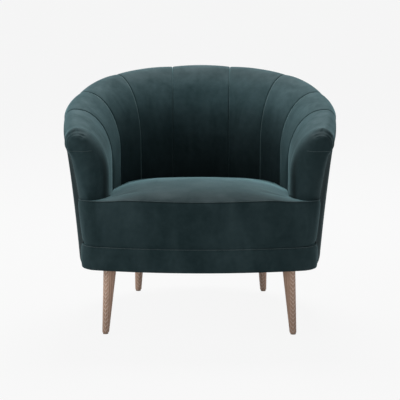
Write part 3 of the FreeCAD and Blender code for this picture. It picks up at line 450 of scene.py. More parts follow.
def apart(x, z, lineX, lineZ):
    # shortest distance from each place to a line of points, over all its short runs
    ax, az = lineX[:-1], lineZ[:-1]
    dx, dz = np.diff(lineX), np.diff(lineZ)
    px, pz = x[..., None] - ax, z[..., None] - az
    t = np.clip((px * dx + pz * dz) / np.maximum(dx * dx + dz * dz, 1e-12), 0, 1)
    return np.hypot(px - t * dx, pz - t * dz).min(axis=-1)


def turned(distance, radius):
    # quarter round: 0 at the outline, level from the radius inwards
    return np.sqrt(np.clip(1 - (1 - np.clip(distance / radius, 0, 1)) ** 2, 0, 1))


def armWall(u):
    # the line over the rim at each place of the last channel, carried on down its outer side
    look = armLook
    st = stationsAt(lastSeam - 1 + u)
    slim = dict(st, reach=st["reach"] - look["slim"] * u ** 2)
    s, z = overRim(slim, look["fine"])
    fall = np.linspace(0, 1, look["fallRows"])[1:]
    down = (st["top"] - st["eave"])[:, None] * (1 - fall) + look["floor"] * fall
    outside = outerOut(st, down) - look["outerStart"]
    s = np.concatenate([s, np.maximum(outside, s[:, -1:] * (1 - fall * look["fallFade"]))], axis=1)
    z = np.concatenate([z, down], axis=1)
    wall = wallPoints(slim, s, z)
    wall[:, -len(fall):] = drawnIn(wall[:, -len(fall):])
    return wall, z[-1]


def pleated(front, top, middleX):
    # pleats as nested arches under the roll, run out on the inner side, the face inside them sunk a little
    look = armLook
    offset, archDrop, archWide, archHigh = look["arch"]
    ax = (front[..., 0] - middleX - offset) / archWide
    az = (front[..., 2] - top + archDrop) / archHigh
    ring, bearing = np.hypot(ax, az), np.arctan2(ax, az)
    window = 1 - smoothStep(-bearing, *look["innerTurns"])
    window = window * (1 - smoothStep(bearing, *look["outerTurns"]))
    rings = look["sinkRings"]
    depth = look["archSink"] * (1 - smoothStep(ring, *rings[2:])) * smoothStep(ring, *rings[:2])
    for centre, deep in look["pleats"]:
        depth = depth + deep * np.exp(-((ring - centre) / look["pleatWidth"]) ** 2)
    return front - gridNormals(front) * (depth * window)[..., None]


def armPad(name, side):
    # worked out for the left arm and mirrored for the right
    channel, look = channelLook, armLook
    dense, z0 = armWall(np.linspace(0, 1, look["columns"]) ** look["crowding"])
    # the rows lie at the same levels up the inner side and down the outer side of the front section
    apex = int(np.argmax(z0))
    top = z0[apex]
    level = top - (top - look["floor"]) * np.linspace(0, 1, look["levels"]) ** look["levelCrowding"]
    inner = np.interp(level, z0[:apex + 1], np.arange(apex + 1))
    outer = np.interp(-level, -z0[apex:], np.arange(apex, len(z0)))
    foot = np.linspace(0, inner[-1], look["footRows"], endpoint=False)
    rows = np.concatenate([foot, inner[::-1], outer[1:]])
    low = np.minimum(rows.astype(int), dense.shape[1] - 2)
    part = (rows - low)[None, :, None]
    along = dense[:, low] * (1 - part) + dense[:, low + 1] * part
    # where each row leaves the arm for its front: early inside, late over the roll and outside
    marks = [0, inner[-1], inner[len(inner) // 2], apex, len(z0)]
    starts = ("innerStart", "innerStart", "middleStart", "topStart", "outStart")
    begin = np.interp(rows, marks, [look[start] for start in starts])
    for k in range(len(rows)):
        ends = np.linspace(along[0, k, 1], armFrontY + begin[k], look["columns"])
        line = along[::-1, k]
        along[:, k] = np.stack([np.interp(ends, line[:, 1], line[:, axis]) for axis in range(3)], axis=-1)
    # the front: straight lines from the inner to the outer edge, its depth from its distance to both
    face = len(foot) + np.arange(len(level))
    edgeIn = along[-1, face][::-1]
    edgeOut = along[-1, face[-1]:]
    w = (1 - np.cos(np.linspace(0, np.pi, look["wide"]))) / 2
    front = edgeIn[:, None] * (1 - w[None, :, None]) + edgeOut[:, None] * w[None, :, None]
    heights = front[..., 2]
    farIn = apart(front[..., 0], heights, edgeIn[:, 0], edgeIn[:, 2])
    farOut = apart(front[..., 0], heights, edgeOut[:, 0], edgeOut[:, 2])
    radiusIn = np.interp(heights, top - np.array(look["innerRun"]), [look["innerRound"], look["topRound"]])
    places = [look["floor"], look["outerMiddle"], top - look["outerTop"], top]
    full = turned(farIn, radiusIn) * turned(farOut, np.interp(heights, places, look["outerRounds"]))
    start = front[..., 1] - armFrontY
    bulge = look["bulge"] * (4 * w * (1 - w)) ** 2
    front[..., 1] = armFrontY + start * (1 - full) - (look["depth"] + bulge) * full
    front = pleated(front, top, dense[-1, apex, 0])
    # the channel's own crown and seam fade out towards the front
    across = runLengths(along, 0)
    reach = across / across[-1:]
    rise = sunk(across, np.clip(1 - reach * look["crownRun"], 0, 1), channel)
    rise = rise * (1 - smoothStep(reach, *look["sunkRun"]))
    rise = rise * np.interp(rows, [apex, apex + look["sunkRows"]], [1, 0])[None]
    along = along - gridNormals(along) * rise[..., None]
    # a painted highlight along the seam, as on the channels
    near = across - channel["seamOffset"][-1]
    seam = channel["seamBright"][-1] * np.exp(-(near / channel["seamLight"]) ** 2)
    points = np.concatenate([along.reshape(-1, 3), front.reshape(-1, 3)]) * [side, 1, 1]
    uv = np.concatenate([np.stack([across, runLengths(along, 1)], axis=-1).reshape(-1, 2),
                         np.stack([runLengths(front, 1), heights], axis=-1).reshape(-1, 2)])
    quads = np.concatenate([gridQuads(*along.shape[:2]), gridQuads(*front.shape[:2], across.size)])
    seam = np.concatenate([seam.ravel(), np.zeros(heights.size)])
    piece = meshPiece(name, points, quads if side > 0 else quads[:, ::-1], seam, uv)
    closeSeams(piece)
    wall = piece.modifiers.new("wall", "SOLIDIFY")
    wall.thickness, wall.offset = look["skin"], -1.0
    cap = int(np.argmin(np.abs(level - (top - look["capSeam"]))))
    return piece, front[cap] * [side, 1, 1]


channelNames = {0: "channel_centre"}
for k in range(1, 4):
    channelNames[k] = "channel_%d_left" % k
    channelNames[-k] = "channel_%d_right" % k


# front of the seat, its border and the band below

seatLook = {
    "edge": 0.411, "crown": 0.022, "sideDrop": 0.038, "clear": 0.0015,
    "ways": (-0.03, 0.0, 0.06, 0.16, 0.3, 0.47, 0.66, 0.83, 1.0, 1.06),
    "rises": (-0.2, 0.0, 0.5, 0.86, 1.0, 0.77, -0.15, -1.0, -1.68, -1.95),
    "sides": (0.03, 0.05, 0.36, 0.66, 0.95, 1.0, 0.78, 0.42, 0.18, 0.16),
    "acrossPlaces": (0.0, 0.3, 0.62, 0.83, 1.0, 1.15, 2.0),
    "acrossFalls": (0.0, 0.06, 0.22, 0.52, 1.0, 1.04, 1.04),
    "columns": 71, "crowding": 1.25, "middleY": 0.010, "earGap": 0.0006,
    "frontSteps": 161, "earSteps": 12, "sideSteps": 40, "rearSteps": 60,
    "pinch": 0.0030, "pinchWidth": 0.008, "under": 0.062, "earFall": 0.16, "earRun": 0.06, "drawIn": 0.974,
    "edgeSteps": 801, "heldRim": 5, "freeRows": (5, -5), "pushLimit": 0.0020,
}
frontLook = {
    "bow": 0.036, "corner": 0.043, "stepIn": 0.0060, "lean": 0.0140,
    "cornerShare": 0.78, "thick": 0.010, "columns": 90, "rows": 22,
    "puff": 0.0030, "footPinch": (0.0025, 0.05), "topPinch": (0.002, 0.05), "jointGap": 0.0005,
    "tuckDrops": (0.012, 0.004), "tuckDepths": (0.0065, 0.0062),
    "bandTop": 0.269, "bandThick": 0.008, "bandRound": 0.0022, "bandRows": 14, "bandTurns": 5,
    "bandPuff": 0.0018, "bandPinch": (0.0014, 0.04), "bandHang": 0.003, "bandGap": 0.0004,
    "bandUnder": 0.0072, "turnRises": (0.0009, 0.0012), "turnDepths": (0.005, 0.016),
    "heldRim": 5, "freeRows": (6, -5), "pushLimit": 0.0016,
}


def frontLine(sideX, t):
    # the bowed front with its two round corners, t from -1 at the right side to 1 at the left:
    # a quarter of an oval at each corner, a flat bow between
    look = frontLook
    away, share = np.abs(t), look["cornerShare"]
    cornerX, cornerY = sideX - look["corner"], frontY + look["bow"]
    bow = np.clip(away / share, 0, 1)
    turn = np.clip((away - share) / (1 - share), 0, 1) * np.pi / 2
    deep = armFrontY - cornerY
    slope = 2 * look["bow"] / cornerX
    x = np.where(away <= share, cornerX * bow, cornerX + look["corner"] * np.sin(turn))
    ovalY = cornerY + deep * (1 - np.cos(turn)) + slope * look["corner"] * np.sin(turn) * np.cos(turn) ** 2
    y = np.where(away <= share, frontY + look["bow"] * bow ** 2, ovalY)
    return np.sign(t) * x, y


seatShoulder = float(curveX(tub["seatCurve"], np.array(armFrontY)))
baseShoulder = float(curveX(tub["baseCurve"], np.array(armFrontY)))


def seatTopZ(x, y):
    # crown along the depth, less a fall towards both sides
    look = seatLook
    depth = tub["widestY"] + tub["seatCurve"][1] - frontY
    way = (y - frontY) / depth
    middle = look["edge"] + look["crown"] * smoothTable(way, look["ways"], look["rises"])
    fall = look["sideDrop"] * smoothTable(way, look["ways"], look["sides"])
    shoulder = seatShoulder - look["clear"]
    return middle - fall * smoothTable(np.abs(x) / shoulder, look["acrossPlaces"], look["acrossFalls"])


def sideAt(z):
    # half width of the border at a height: a step in from the base, then leaning out
    share = (z - frontLook["bandTop"]) / (seatLook["edge"] - frontLook["bandTop"])
    return baseShoulder - frontLook["stepIn"] + frontLook["lean"] * share


def baseSide(z):
    # half width of the band, the same at every height
    return baseShoulder


def frontAt(x, halfWidth, steps):
    # depth of the front line under each x
    return np.interp(x, *frontLine(halfWidth, np.linspace(-1, 1, steps)))


def armFootX(y):
    # inner line of the arm pad at seat height, with its broad corner at the front
    look = armLook
    run = np.clip((armFrontY + look["innerStart"] - y) / (look["innerStart"] + look["depth"]), 0, 1)
    corner = look["innerRound"] * (1 - np.sqrt(1 - run ** 2))
    return curveX(tub["seatCurve"], np.maximum(y, armFrontY)) + corner


def evenLine(x, y, count):
    # points at even distances along a line
    run = np.concatenate([[0], np.cumsum(np.hypot(np.diff(x), np.diff(y)))])
    even = np.linspace(0, run[-1], count)
    return np.stack([np.interp(even, run, x), np.interp(even, run, y)], axis=-1)


def seatPlan(inset, count):
    # a square grid stretched over the seat's plan: its near side lies on the bowed front, its far side
    # on the rear of the oval, its left and right sides along the ears and the arms' inner faces
    look = seatLook
    x, y = frontLine(sideAt(look["edge"]) - inset, np.linspace(-1, 1, look["frontSteps"]))
    near = evenLine(x, y + inset, count)
    barBack = armFrontY - look["earGap"]
    earX = np.linspace(near[-1, 0], float(armFootX(np.array(barBack))) - inset, look["earSteps"])
    sideY = np.linspace(barBack, tub["widestY"], look["sideSteps"])[1:]
    turn = np.linspace(0, np.pi / 2, look["rearSteps"])[1:]
    half = tub["seatCurve"][0] - look["clear"] - inset
    deep = tub["seatCurve"][1] - look["clear"] - inset
    ovalX, ovalY = half * np.cos(turn), tub["widestY"] + deep * np.sin(turn)
    corner = len(turn) // 2
    x = np.concatenate([earX, armFootX(sideY) - look["clear"] - inset, ovalX[:corner]])
    y = np.concatenate([np.full(len(earX), barBack), sideY, ovalY[:corner]])
    y[0] = near[-1, 1]
    left = evenLine(x, y, count)
    x, y = ovalX[corner - 1:], ovalY[corner - 1:]
    far = evenLine(np.concatenate([-x, x[-2::-1]]), np.concatenate([y, y[-2::-1]]), count)
    right = left * [-1, 1]
    place = np.linspace(-1, 1, count)
    a, b = np.meshgrid(place, place, indexing="ij")
    ring = np.maximum(np.maximum(np.abs(a), np.abs(b)), 1e-9)
    edges = []
    for line, way in ((near, a), (far, a), (left, b), (right, b)):
        edges.append(np.stack([np.interp(way / ring, place, line[:, k]) for k in (0, 1)], axis=-1))
    where = [(np.abs(b) >= np.abs(a)) & (b < 0), (np.abs(b) >= np.abs(a)) & (b >= 0), a > 0, a <= 0]
    edge = np.stack([np.select(where, [e[..., k] for e in edges]) for k in (0, 1)], axis=-1)
    middle = np.array([0.0, armFrontY - look["middleY"]])
    return middle + (edge - middle) * (1 - (1 - ring) ** look["crowding"])[..., None]


def seatPad(name, inset=0.0, low=None):
    # the crowned top over its plan, pinched at the front seam, and a flat underside
    look = seatLook
    plan = seatPlan(inset, look["columns"])
    gx, gy = plan[..., 0], plan[..., 1]
    low = look["edge"] - look["under"] if low is None else low
    edge = np.maximum(gy - frontAt(gx, sideAt(look["edge"]), look["edgeSteps"]) - inset, 0)
    z = seatTopZ(gx, gy) - inset - look["pinch"] * np.exp(-edge / look["pinchWidth"])
    # outside the arms' inner faces the top falls away behind its front edge
    z = z - look["earFall"] * edge * smoothStep(np.abs(gx), seatShoulder, seatShoulder + look["earRun"])
    top = np.stack([gx, gy, z], axis=-1)
    return closedPad(name, top, top * [look["drawIn"], look["drawIn"], 0] + [0, 0, low], None, plan)


def wrapBoard(heights, sideOf, outOf, thick, columns):
    # a skin along the bowed front: outline at each height, pushed out by its own profile
    t = np.linspace(-1, 1, columns)
    lines = [np.stack([*frontLine(sideOf(z), t), np.full(columns, z)], axis=-1) for z in heights]
    grid = np.stack(lines, axis=1)
    ahead = np.gradient(grid, axis=0)
    normal = np.stack([ahead[..., 1], -ahead[..., 0], 0 * ahead[..., 0]], axis=-1)
    normal /= np.linalg.norm(normal, axis=2, keepdims=True)
    return grid + normal * np.asarray(outOf)[None, :, None], grid - normal * thick


def borderPad(name):
    # puffed between its two seams, and pinched in at both
    look = frontLook
    q = np.linspace(0, 1, look["rows"])
    low, top = look["bandTop"] + look["jointGap"], seatLook["edge"]
    heights = low + (top - low) * q
    (footDeep, footRun), (topDeep, topRun) = look["footPinch"], look["topPinch"]
    puff = look["puff"] * (1 - np.abs(2 * q - 1) ** 4)
    puff = puff - footDeep * np.exp(-q / footRun) - topDeep * np.exp(-(1 - q) / topRun)
    # two rows behind the band's top edge close the joint
    heights = np.concatenate([look["bandTop"] - np.array(look["tuckDrops"]), heights])
    puff = np.concatenate([-np.array(look["tuckDepths"]), puff])
    q = np.concatenate([[0, 0], q])
    front, back = wrapBoard(heights, sideAt, puff, look["thick"], look["columns"])
    # the top edge follows the seat's own edge down to the ears
    edge = seatTopZ(front[:, -1, 0], front[:, -1, 1]) - seatLook["pinch"]
    lower = (edge - top)[:, None] * q[None] ** 2
    front[..., 2] += lower
    back[..., 2] += lower
    return closedPad(name, front, back, None, clothMap(front)), front


def bandPad(name):
    # a quarter round at the foot, a slight puff above it, and a top edge turned in over the rail behind
    look = frontLook
    bottom, top = tub["base"] - look["bandHang"], look["bandTop"] - look["bandGap"]
    radius = look["bandRound"]
    turn = np.linspace(0, np.pi / 2, look["bandTurns"])[1:]
    q = np.linspace(0, 1, look["bandRows"])[1:]
    deep, run = look["bandPinch"]
    heights = np.concatenate([
        [bottom, bottom], bottom + radius * (1 - np.cos(turn)),
        bottom + radius + (top - bottom - radius) * q, top + np.array(look["turnRises"])])
    puff = look["bandPuff"] * (1 - (2 * q - 1) ** 4) - deep * np.exp(-(1 - q) / run)
    outs = np.concatenate([
        [-look["bandUnder"], -radius], radius * (np.sin(turn) - 1), puff, -np.array(look["turnDepths"])])
    front, back = wrapBoard(heights, baseSide, outs, look["bandThick"], look["columns"])
    return closedPad(name, front, back, None, clothMap(front)), front


# foam and felt under the seat's cover, cloth under the base

insideLook = {
    "foamInset": 0.0065, "foamLow": 0.3345,
    "frontLow": 0.2705, "frontHigh": 0.398, "frontRows": 12, "frontColumns": 60,
    "frontSink": 0.011, "frontThick": 0.034,
    "feltCells": (40, 36), "feltWave": 0.0004, "feltTurns": (61, 47),
    "cell": 0.006, "clothZ": 0.2046, "clothInset": 0.010, "legGap": 0.0255,
    "clothWave": 0.0002, "clothTurns": (90, 80), "clothSteps": 401, "legTop": 0.001,
}


def feltPad(name):
    # a flat pad over the springs, its faces a little uneven
    look = insideLook
    low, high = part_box("seat_felt")
    across, deep = look["feltCells"]
    u, v = np.meshgrid(np.linspace(low.x, high.x, across), np.linspace(low.y, high.y, deep), indexing="ij")
    turnX, turnY = look["feltTurns"]
    wave = look["feltWave"] * (np.sin(u * turnX) * np.cos(v * turnY) - 1)
    top = np.stack([u, v, high.z + wave], axis=-1)
    return closedPad(name, top, top * [1, 1, 0] + [0, 0, low.z])


def dustSheet(name):
    # cells of a plan grid that lie inside the base outline and outside the leg plates
    look = insideLook
    half, inset = tub["baseCurve"][0], look["clothInset"]
    x = np.arange(-half, half, look["cell"])
    y = np.arange(frontY, tub["widestY"] + tub["baseCurve"][1], look["cell"])
    gx, gy = np.meshgrid(x, y, indexing="ij")
    inFront = gy > frontAt(gx, baseShoulder, look["clothSteps"]) + inset
    behind = np.abs(gx) < curveX(tub["baseCurve"], np.maximum(gy, armFrontY)) - inset
    oval = tub["baseCurve"][1] * np.sqrt(np.clip(1 - (gx / half) ** 2, 0, 1))
    rear = gy < tub["widestY"] + oval - inset
    keep = inFront & behind & np.where(gy > tub["widestY"], rear, True)
    for node in ("leg_front_left", "leg_front_right", "leg_rear_left", "leg_rear_right"):
        points = vertexPlaces(frame["nodes"][node].data)
        centre = points[points[:, 2] > tub["base"] - look["legTop"]].mean(axis=0)
        keep &= ~((np.abs(gx - centre[0]) < look["legGap"]) & (np.abs(gy - centre[1]) < look["legGap"]))
    quads = gridQuads(*gx.shape)
    flat = keep.ravel()
    quads = quads[flat[quads].all(axis=1)][:, ::-1]
    used, quads = np.unique(quads, return_inverse=True)
    turnX, turnY = look["clothTurns"]
    z = look["clothZ"] - look["clothWave"] * (1 + np.sin(gx * turnX) * np.sin(gy * turnY))
    points = np.stack([gx, gy, z], axis=-1).reshape(-1, 3)[used]
    return meshPiece(name, points, quads.reshape(-1, 4))


def clothArea(piece):
    mesh = piece.data
    area = np.empty(len(mesh.polygons), dtype=np.float32)
    mesh.polygons.foreach_get("area", area)
    return float(area.sum())


# outside covers

outsideLook = {
    "joint": 1.9, "columnsBack": 60, "columnsArm": 44, "rows": 26, "thick": 0.004, "eaveUp": 0.004,
    "under": 0.003, "underTurns": 6, "tuck": 0.010,
    "edgeRound": 0.0020, "edgeDepth": 0.002, "edgeColumns": 7, "edgeInside": (0.5, 0.6, 1.0),
}


def outsidePad(name, first, last, columns, wrapFront=0):
    # the outer face from the base to the eave, with its foot turned under and, on the arms,
    # its front edge rolled in to meet the facing
    look, radius = outsideLook, outsideLook["under"]
    st = stationsAt(np.linspace(first, last, columns))
    eave = (st["top"] - st["eave"])[:, None] + look["eaveUp"]
    turn = np.linspace(np.pi / 2, 0, look["underTurns"])[None, 1:]
    q = np.linspace(0, 1, look["rows"])[None]
    z = tub["base"] + radius + q * (eave - tub["base"] - radius)
    foot = outerOut(st, np.full((columns, 1), tub["base"]))
    lowS = foot - radius + radius * np.cos(turn)
    lowZ = np.broadcast_to(tub["base"] + radius - radius * np.sin(turn), lowS.shape)
    flat = np.full((columns, 2), tub["base"])
    s = np.concatenate([foot - radius - look["tuck"], foot - radius, lowS, outerOut(st, z)], axis=1)
    z = np.concatenate([flat, lowZ, z], axis=1)
    base, inner = wallPoints(st, s, z), wallPoints(st, s - look["thick"], z)
    if wrapFront:
        base, inner = drawnIn(base), drawnIn(inner)
    inner[:, :2] = base[:, :2] + [0, 0, look["thick"]]
    if wrapFront:
        angles = np.linspace(0, np.pi / 2, look["edgeColumns"] + 1)[1:]
        end = -1 if wrapFront > 0 else 0
        inward = -np.sign(base[end, 0, 0]) * look["edgeRound"] * (1 - np.cos(angles))
        shift = np.stack([inward, -look["edgeDepth"] * np.sin(angles), 0 * angles], axis=-1)
        extra = base[end] + shift[:, None]
        extraIn = inner[end] + (shift * look["edgeInside"])[:, None]
        if wrapFront > 0:
            base, inner = np.concatenate([base, extra]), np.concatenate([inner, extraIn])
        else:
            base, inner = np.concatenate([extra[::-1], base]), np.concatenate([extraIn[::-1], inner])
    # the outside faces away from the sitter, so the grid is turned round
    base, inner = base[::-1], inner[::-1]
    return closedPad(name, base, inner, np.zeros(base.shape[:2]), clothMap(base)), base


# shader groups

def nodeGroup(name, inputs, outputs):
    group = bpy.data.node_groups.new(name, "ShaderNodeTree")
    for label, kind, value in inputs:
        socket = group.interface.new_socket(label, in_out="INPUT", socket_type=kind)
        if value is not None:
            socket.default_value = value
    for label, kind in outputs:
        group.interface.new_socket(label, in_out="OUTPUT", socket_type=kind)
    return group, group.nodes.new("NodeGroupInput"), group.nodes.new("NodeGroupOutput")


def addNode(tree, kind, links=(), **values):
    # a node with its settings, its socket values, and what feeds it
    node = tree.nodes.new(kind)
    for key, value in values.items():
        if hasattr(node, key):
            setattr(node, key, value)
        else:
            node.inputs[key.replace("_", " ")].default_value = value
    for socket, source in links:
        tree.links.new(source, node.inputs[socket])
    return node


def feed(tree, socket, value):
    # a number or a colour is set on the socket, anything else is linked to it
    if isinstance(value, (int, float, tuple)):
        socket.default_value = value
    else:
        tree.links.new(value, socket)


def mathNode(tree, operation, a, b=None, clamp=False):
    node = tree.nodes.new("ShaderNodeMath")
    node.operation, node.use_clamp = operation, clamp
    feed(tree, node.inputs[0], a)
    if b is not None:
        feed(tree, node.inputs[1], b)
    return node.outputs[0]


def rampNode(tree, source, low, high, a=0.0, b=1.0):
    node = tree.nodes.new("ShaderNodeMapRange")
    node.clamp = True
    tree.links.new(source, node.inputs["Value"])
    for socket, value in (("From Min", low), ("From Max", high), ("To Min", a), ("To Max", b)):
        node.inputs[socket].default_value = value
    return node.outputs["Result"]


def mixColour(tree, factor, a, b, blend="MIX"):
    node = tree.nodes.new("ShaderNodeMix")
    node.data_type, node.blend_type = "RGBA", blend
    for socket, value in ((0, factor), (6, a), (7, b)):
        feed(tree, node.inputs[socket], value)
    return node.outputs[2]


# painted light and shade: a tone that scales the velvet's colour at places along one axis, and on the front
# of the left and the right arm, lighter on the tops and the seat's rear, darker low in the tub
paintedLightTones = {
    "channel": ((0.42, 0.50, 0.57, 0.62, 0.67, 0.70, 0.80), (0.38, 0.58, 1.10, 1.92, 1.86, 1.22, 1.06)),
    "arm": ((0.40, 0.50, 0.545, 0.585, 0.64), (0.22, 0.27, 0.80, 1.82, 2.02)),
    "seat": ((-0.38, -0.25, -0.19, -0.14, -0.10, -0.06), (0.66, 0.86, 1.40, 2.25, 3.60, 5.20)),
    "front": ((0.2, 0.4), (1.12, 1.12)), "cover": ((0.20, 0.33, 0.50), (0.36, 0.46, 0.36)),
}
armFrontPaintedLight = {"tone": {1: 1.02, -1: 1.36}, "run": (-0.018, 0.012)}


def paintLightAndShade(piece, part, axis=2, armSide=0):
    # painted light and shade: the colour is made lighter or darker along one axis, and by its own tone on an
    # arm's front
    points = vertexPlaces(piece.data)
    tone = np.interp(points[:, axis], *paintedLightTones[part])
    if armSide:
        share = smoothStep(points[:, 1] - armFrontY, *armFrontPaintedLight["run"])
        tone = tone * share + armFrontPaintedLight["tone"][armSide] * (1 - share)
    # the attribute named pile holds this painted light and shade, not the velvet's pile
    mark = piece.data.attributes.new("pile", "FLOAT", "POINT")
    mark.data.foreach_set("value", tone.astype(np.float32))
    return piece


def sumOf(tree, first, firstShare, second, secondShare):
    # two values, each times its share, added up
    firstPart = mathNode(tree, "MULTIPLY", first, firstShare)
    return mathNode(tree, "ADD", firstPart, mathNode(tree, "MULTIPLY", second, secondShare))


pileLook = {
    "patchScale": 9.0, "pileScale": 900.0, "stretch": (1.6, 1.6, 0.7), "fineTimes": 6.5,
    "broadBand": (0.32, 0.70), "fineBand": (0.30, 0.72), "broadShare": 0.72, "fineShare": 0.28,
}


def buildPile():
    # velvet pile: broad brushed patches, a finer cloud inside them, and the pile's own grain
    look = pileLook
    group, given, out = nodeGroup(
        "velvetPile",
        [("Vector", "NodeSocketVector", None), ("Patch Scale", "NodeSocketFloat", look["patchScale"]),
         ("Pile Scale", "NodeSocketFloat", look["pileScale"])],
        [("Patches", "NodeSocketFloat"), ("Grain", "NodeSocketFloat")])
    place, patchScale = given.outputs["Vector"], given.outputs["Patch Scale"]
    stretch = addNode(group, "ShaderNodeMapping", [("Vector", place)], Scale=look["stretch"])
    broad = addNode(group, "ShaderNodeTexNoise", [("Vector", stretch.outputs[0]), ("Scale", patchScale)],
                    Detail=3.0, Roughness=0.55, Distortion=0.6)
    fineScale = mathNode(group, "MULTIPLY", patchScale, look["fineTimes"])
    fine = addNode(group, "ShaderNodeTexNoise", [("Vector", place), ("Scale", fineScale)],
                   Detail=2.0, Roughness=0.6)
    pile = addNode(group, "ShaderNodeTexNoise", [("Vector", place), ("Scale", given.outputs["Pile Scale"])],
                   Detail=1.0, Roughness=0.5)
    broadPart = rampNode(group, broad.outputs[0], *look["broadBand"])
    finePart = rampNode(group, fine.outputs[0], *look["fineBand"])
    mixed = sumOf(group, broadPart, look["broadShare"], finePart, look["fineShare"])
    group.links.new(mixed, out.inputs["Patches"])
    group.links.new(pile.outputs[0], out.inputs["Grain"])
    return group


pileGroup = buildPile()

velvetLook = {
    "dark": (0.0140, 0.0290, 0.0320, 1), "light": (0.0310, 0.0550, 0.0605, 1),
    # a pale colour mixed in along the seams: a painted highlight
    "worn": (0.100, 0.150, 0.155, 1), "seamShare": 0.40,
    "sheen": 0.36, "sheenRoughness": 0.34, "sheenTint": (0.49, 0.86, 0.93, 1),
    "roughness": (0.88, 0.74), "specular": 0.10, "bump": (0.16, 0.0006),
}


def newMaterial(name):
    material = bpy.data.materials.new(name)
    material.use_nodes = True
    return material, material.node_tree, material.node_tree.nodes["Principled BSDF"]


def groupNode(tree, group):
    # a shared effect, fed with the object's own coordinates
    node = tree.nodes.new("ShaderNodeGroup")
    node.node_tree = group
    place = addNode(tree, "ShaderNodeTexCoord").outputs["Object"]
    tree.links.new(place, node.inputs["Vector"])
    return node, place


def surface(tree, shader, colour, tone, roughness, height, bump):
    # colour, roughness from one tone to the other, and a fine relief
    strength, distance = bump
    relief = addNode(tree, "ShaderNodeBump", [("Height", height)], Strength=strength, Distance=distance)
    tree.links.new(colour, shader.inputs["Base Color"])
    tree.links.new(rampNode(tree, tone, 0, 1, *roughness), shader.inputs["Roughness"])
    tree.links.new(relief.outputs[0], shader.inputs["Normal"])


def velvetMaterial(name, look, seams=True):
    # brushed lighter in patches, with painted light and shade from each piece's pile attribute, and a
    # painted highlight mixed in along each seam
    material, tree, shader = newMaterial(name)
    pile, place = groupNode(tree, pileGroup)
    patches = pile.outputs["Patches"]
    colour = mixColour(tree, patches, look["dark"], look["light"])
    if seams:
        # painted light and shade: the colour is multiplied by each piece's tone
        paintedLightTone = addNode(tree, "ShaderNodeAttribute", attribute_name="pile").outputs["Fac"]
        colour = mixColour(tree, 1.0, colour, paintedLightTone, "MULTIPLY")
        # painted highlight: a pale colour mixed in along the seams
        mark = addNode(tree, "ShaderNodeAttribute", attribute_name="seam")
        near = mathNode(tree, "MULTIPLY", mark.outputs["Fac"], look["seamShare"], True)
        colour = mixColour(tree, near, colour, look["worn"])
    shader.inputs["Sheen Weight"].default_value = look["sheen"]
    shader.inputs["Sheen Roughness"].default_value = look["sheenRoughness"]
    shader.inputs["Sheen Tint"].default_value = look["sheenTint"]
    shader.inputs["Specular IOR Level"].default_value = look["specular"]
    surface(tree, shader, colour, patches, look["roughness"], pile.outputs["Grain"], look["bump"])
    return material


# the middle line of the arches moves in towards the rear, as the rear legs stand further in
grainLook = {
    "ringScale": 95.0, "stretch": 0.09, "legX": 0.226, "legIn": 0.15, "slope": 1.25,
    "wander": 0.012, "wanderScale": 38.0, "frequency": 500.0, "lineBand": (0.50, 0.98),
    "asideBand": (0.0125, 0.0045), "fibreScale": 900.0, "fleckScale": 420.0, "fleckBand": (0.16, 0.05),
}


def buildGrain():
    # wood along z: growth rings cut at a slant, fine fibres and short pale flecks
    look = grainLook
    group, given, out = nodeGroup(
        "oakGrain",
        [("Vector", "NodeSocketVector", None), ("Ring Scale", "NodeSocketFloat", look["ringScale"]),
         ("Stretch", "NodeSocketFloat", look["stretch"])],
        [("Rings", "NodeSocketFloat"), ("Fibres", "NodeSocketFloat"), ("Flecks", "NodeSocketFloat"),
         ("Lines", "NodeSocketFloat")])
    place = given.outputs["Vector"]
    split = addNode(group, "ShaderNodeSeparateXYZ", [("Vector", place)])
    x, y, z = (split.outputs[axis] for axis in ("X", "Y", "Z"))
    drawn = mathNode(group, "MULTIPLY", z, given.outputs["Stretch"])
    long = addNode(group, "ShaderNodeCombineXYZ", [("X", x), ("Y", y), ("Z", drawn)]).outputs[0]
    wave = addNode(group, "ShaderNodeTexWave", [("Vector", long), ("Scale", given.outputs["Ring Scale"])],
                   wave_type="BANDS", bands_direction="X", Distortion=7.0, Detail=2.0, Detail_Scale=0.35)
    # a slanted cut draws arches down the middle of each leg:
    # even steps of the height less the way from the leg's middle
    middle = mathNode(group, "SUBTRACT", look["legX"], mathNode(group, "MULTIPLY", y, look["legIn"]))
    aside = mathNode(group, "SUBTRACT", mathNode(group, "ABSOLUTE", x), middle)
    aside = mathNode(group, "ABSOLUTE", aside)
    wander = addNode(group, "ShaderNodeTexNoise", [("Vector", place)], Scale=look["wanderScale"], Detail=2.0)
    rise = mathNode(group, "SUBTRACT", z, mathNode(group, "MULTIPLY", aside, look["slope"]))
    rise = mathNode(group, "ADD", rise, mathNode(group, "MULTIPLY", wander.outputs[0], look["wander"]))
    arch = mathNode(group, "SINE", mathNode(group, "MULTIPLY", rise, look["frequency"]))
    arch = rampNode(group, arch, *look["lineBand"])
    arch = mathNode(group, "MULTIPLY", arch, rampNode(group, aside, *look["asideBand"]))
    fibre = addNode(group, "ShaderNodeTexNoise", [("Vector", long)], Scale=look["fibreScale"], Detail=2.0)
    fleck = addNode(group, "ShaderNodeTexVoronoi", [("Vector", long)], Scale=look["fleckScale"])
    fleck = rampNode(group, fleck.outputs["Distance"], *look["fleckBand"])
    for label, value in (("Rings", wave.outputs["Fac"]), ("Fibres", fibre.outputs[0]),
                         ("Lines", arch), ("Flecks", fleck)):
        group.links.new(value, out.inputs[label])
    return group


grainGroup = buildGrain()

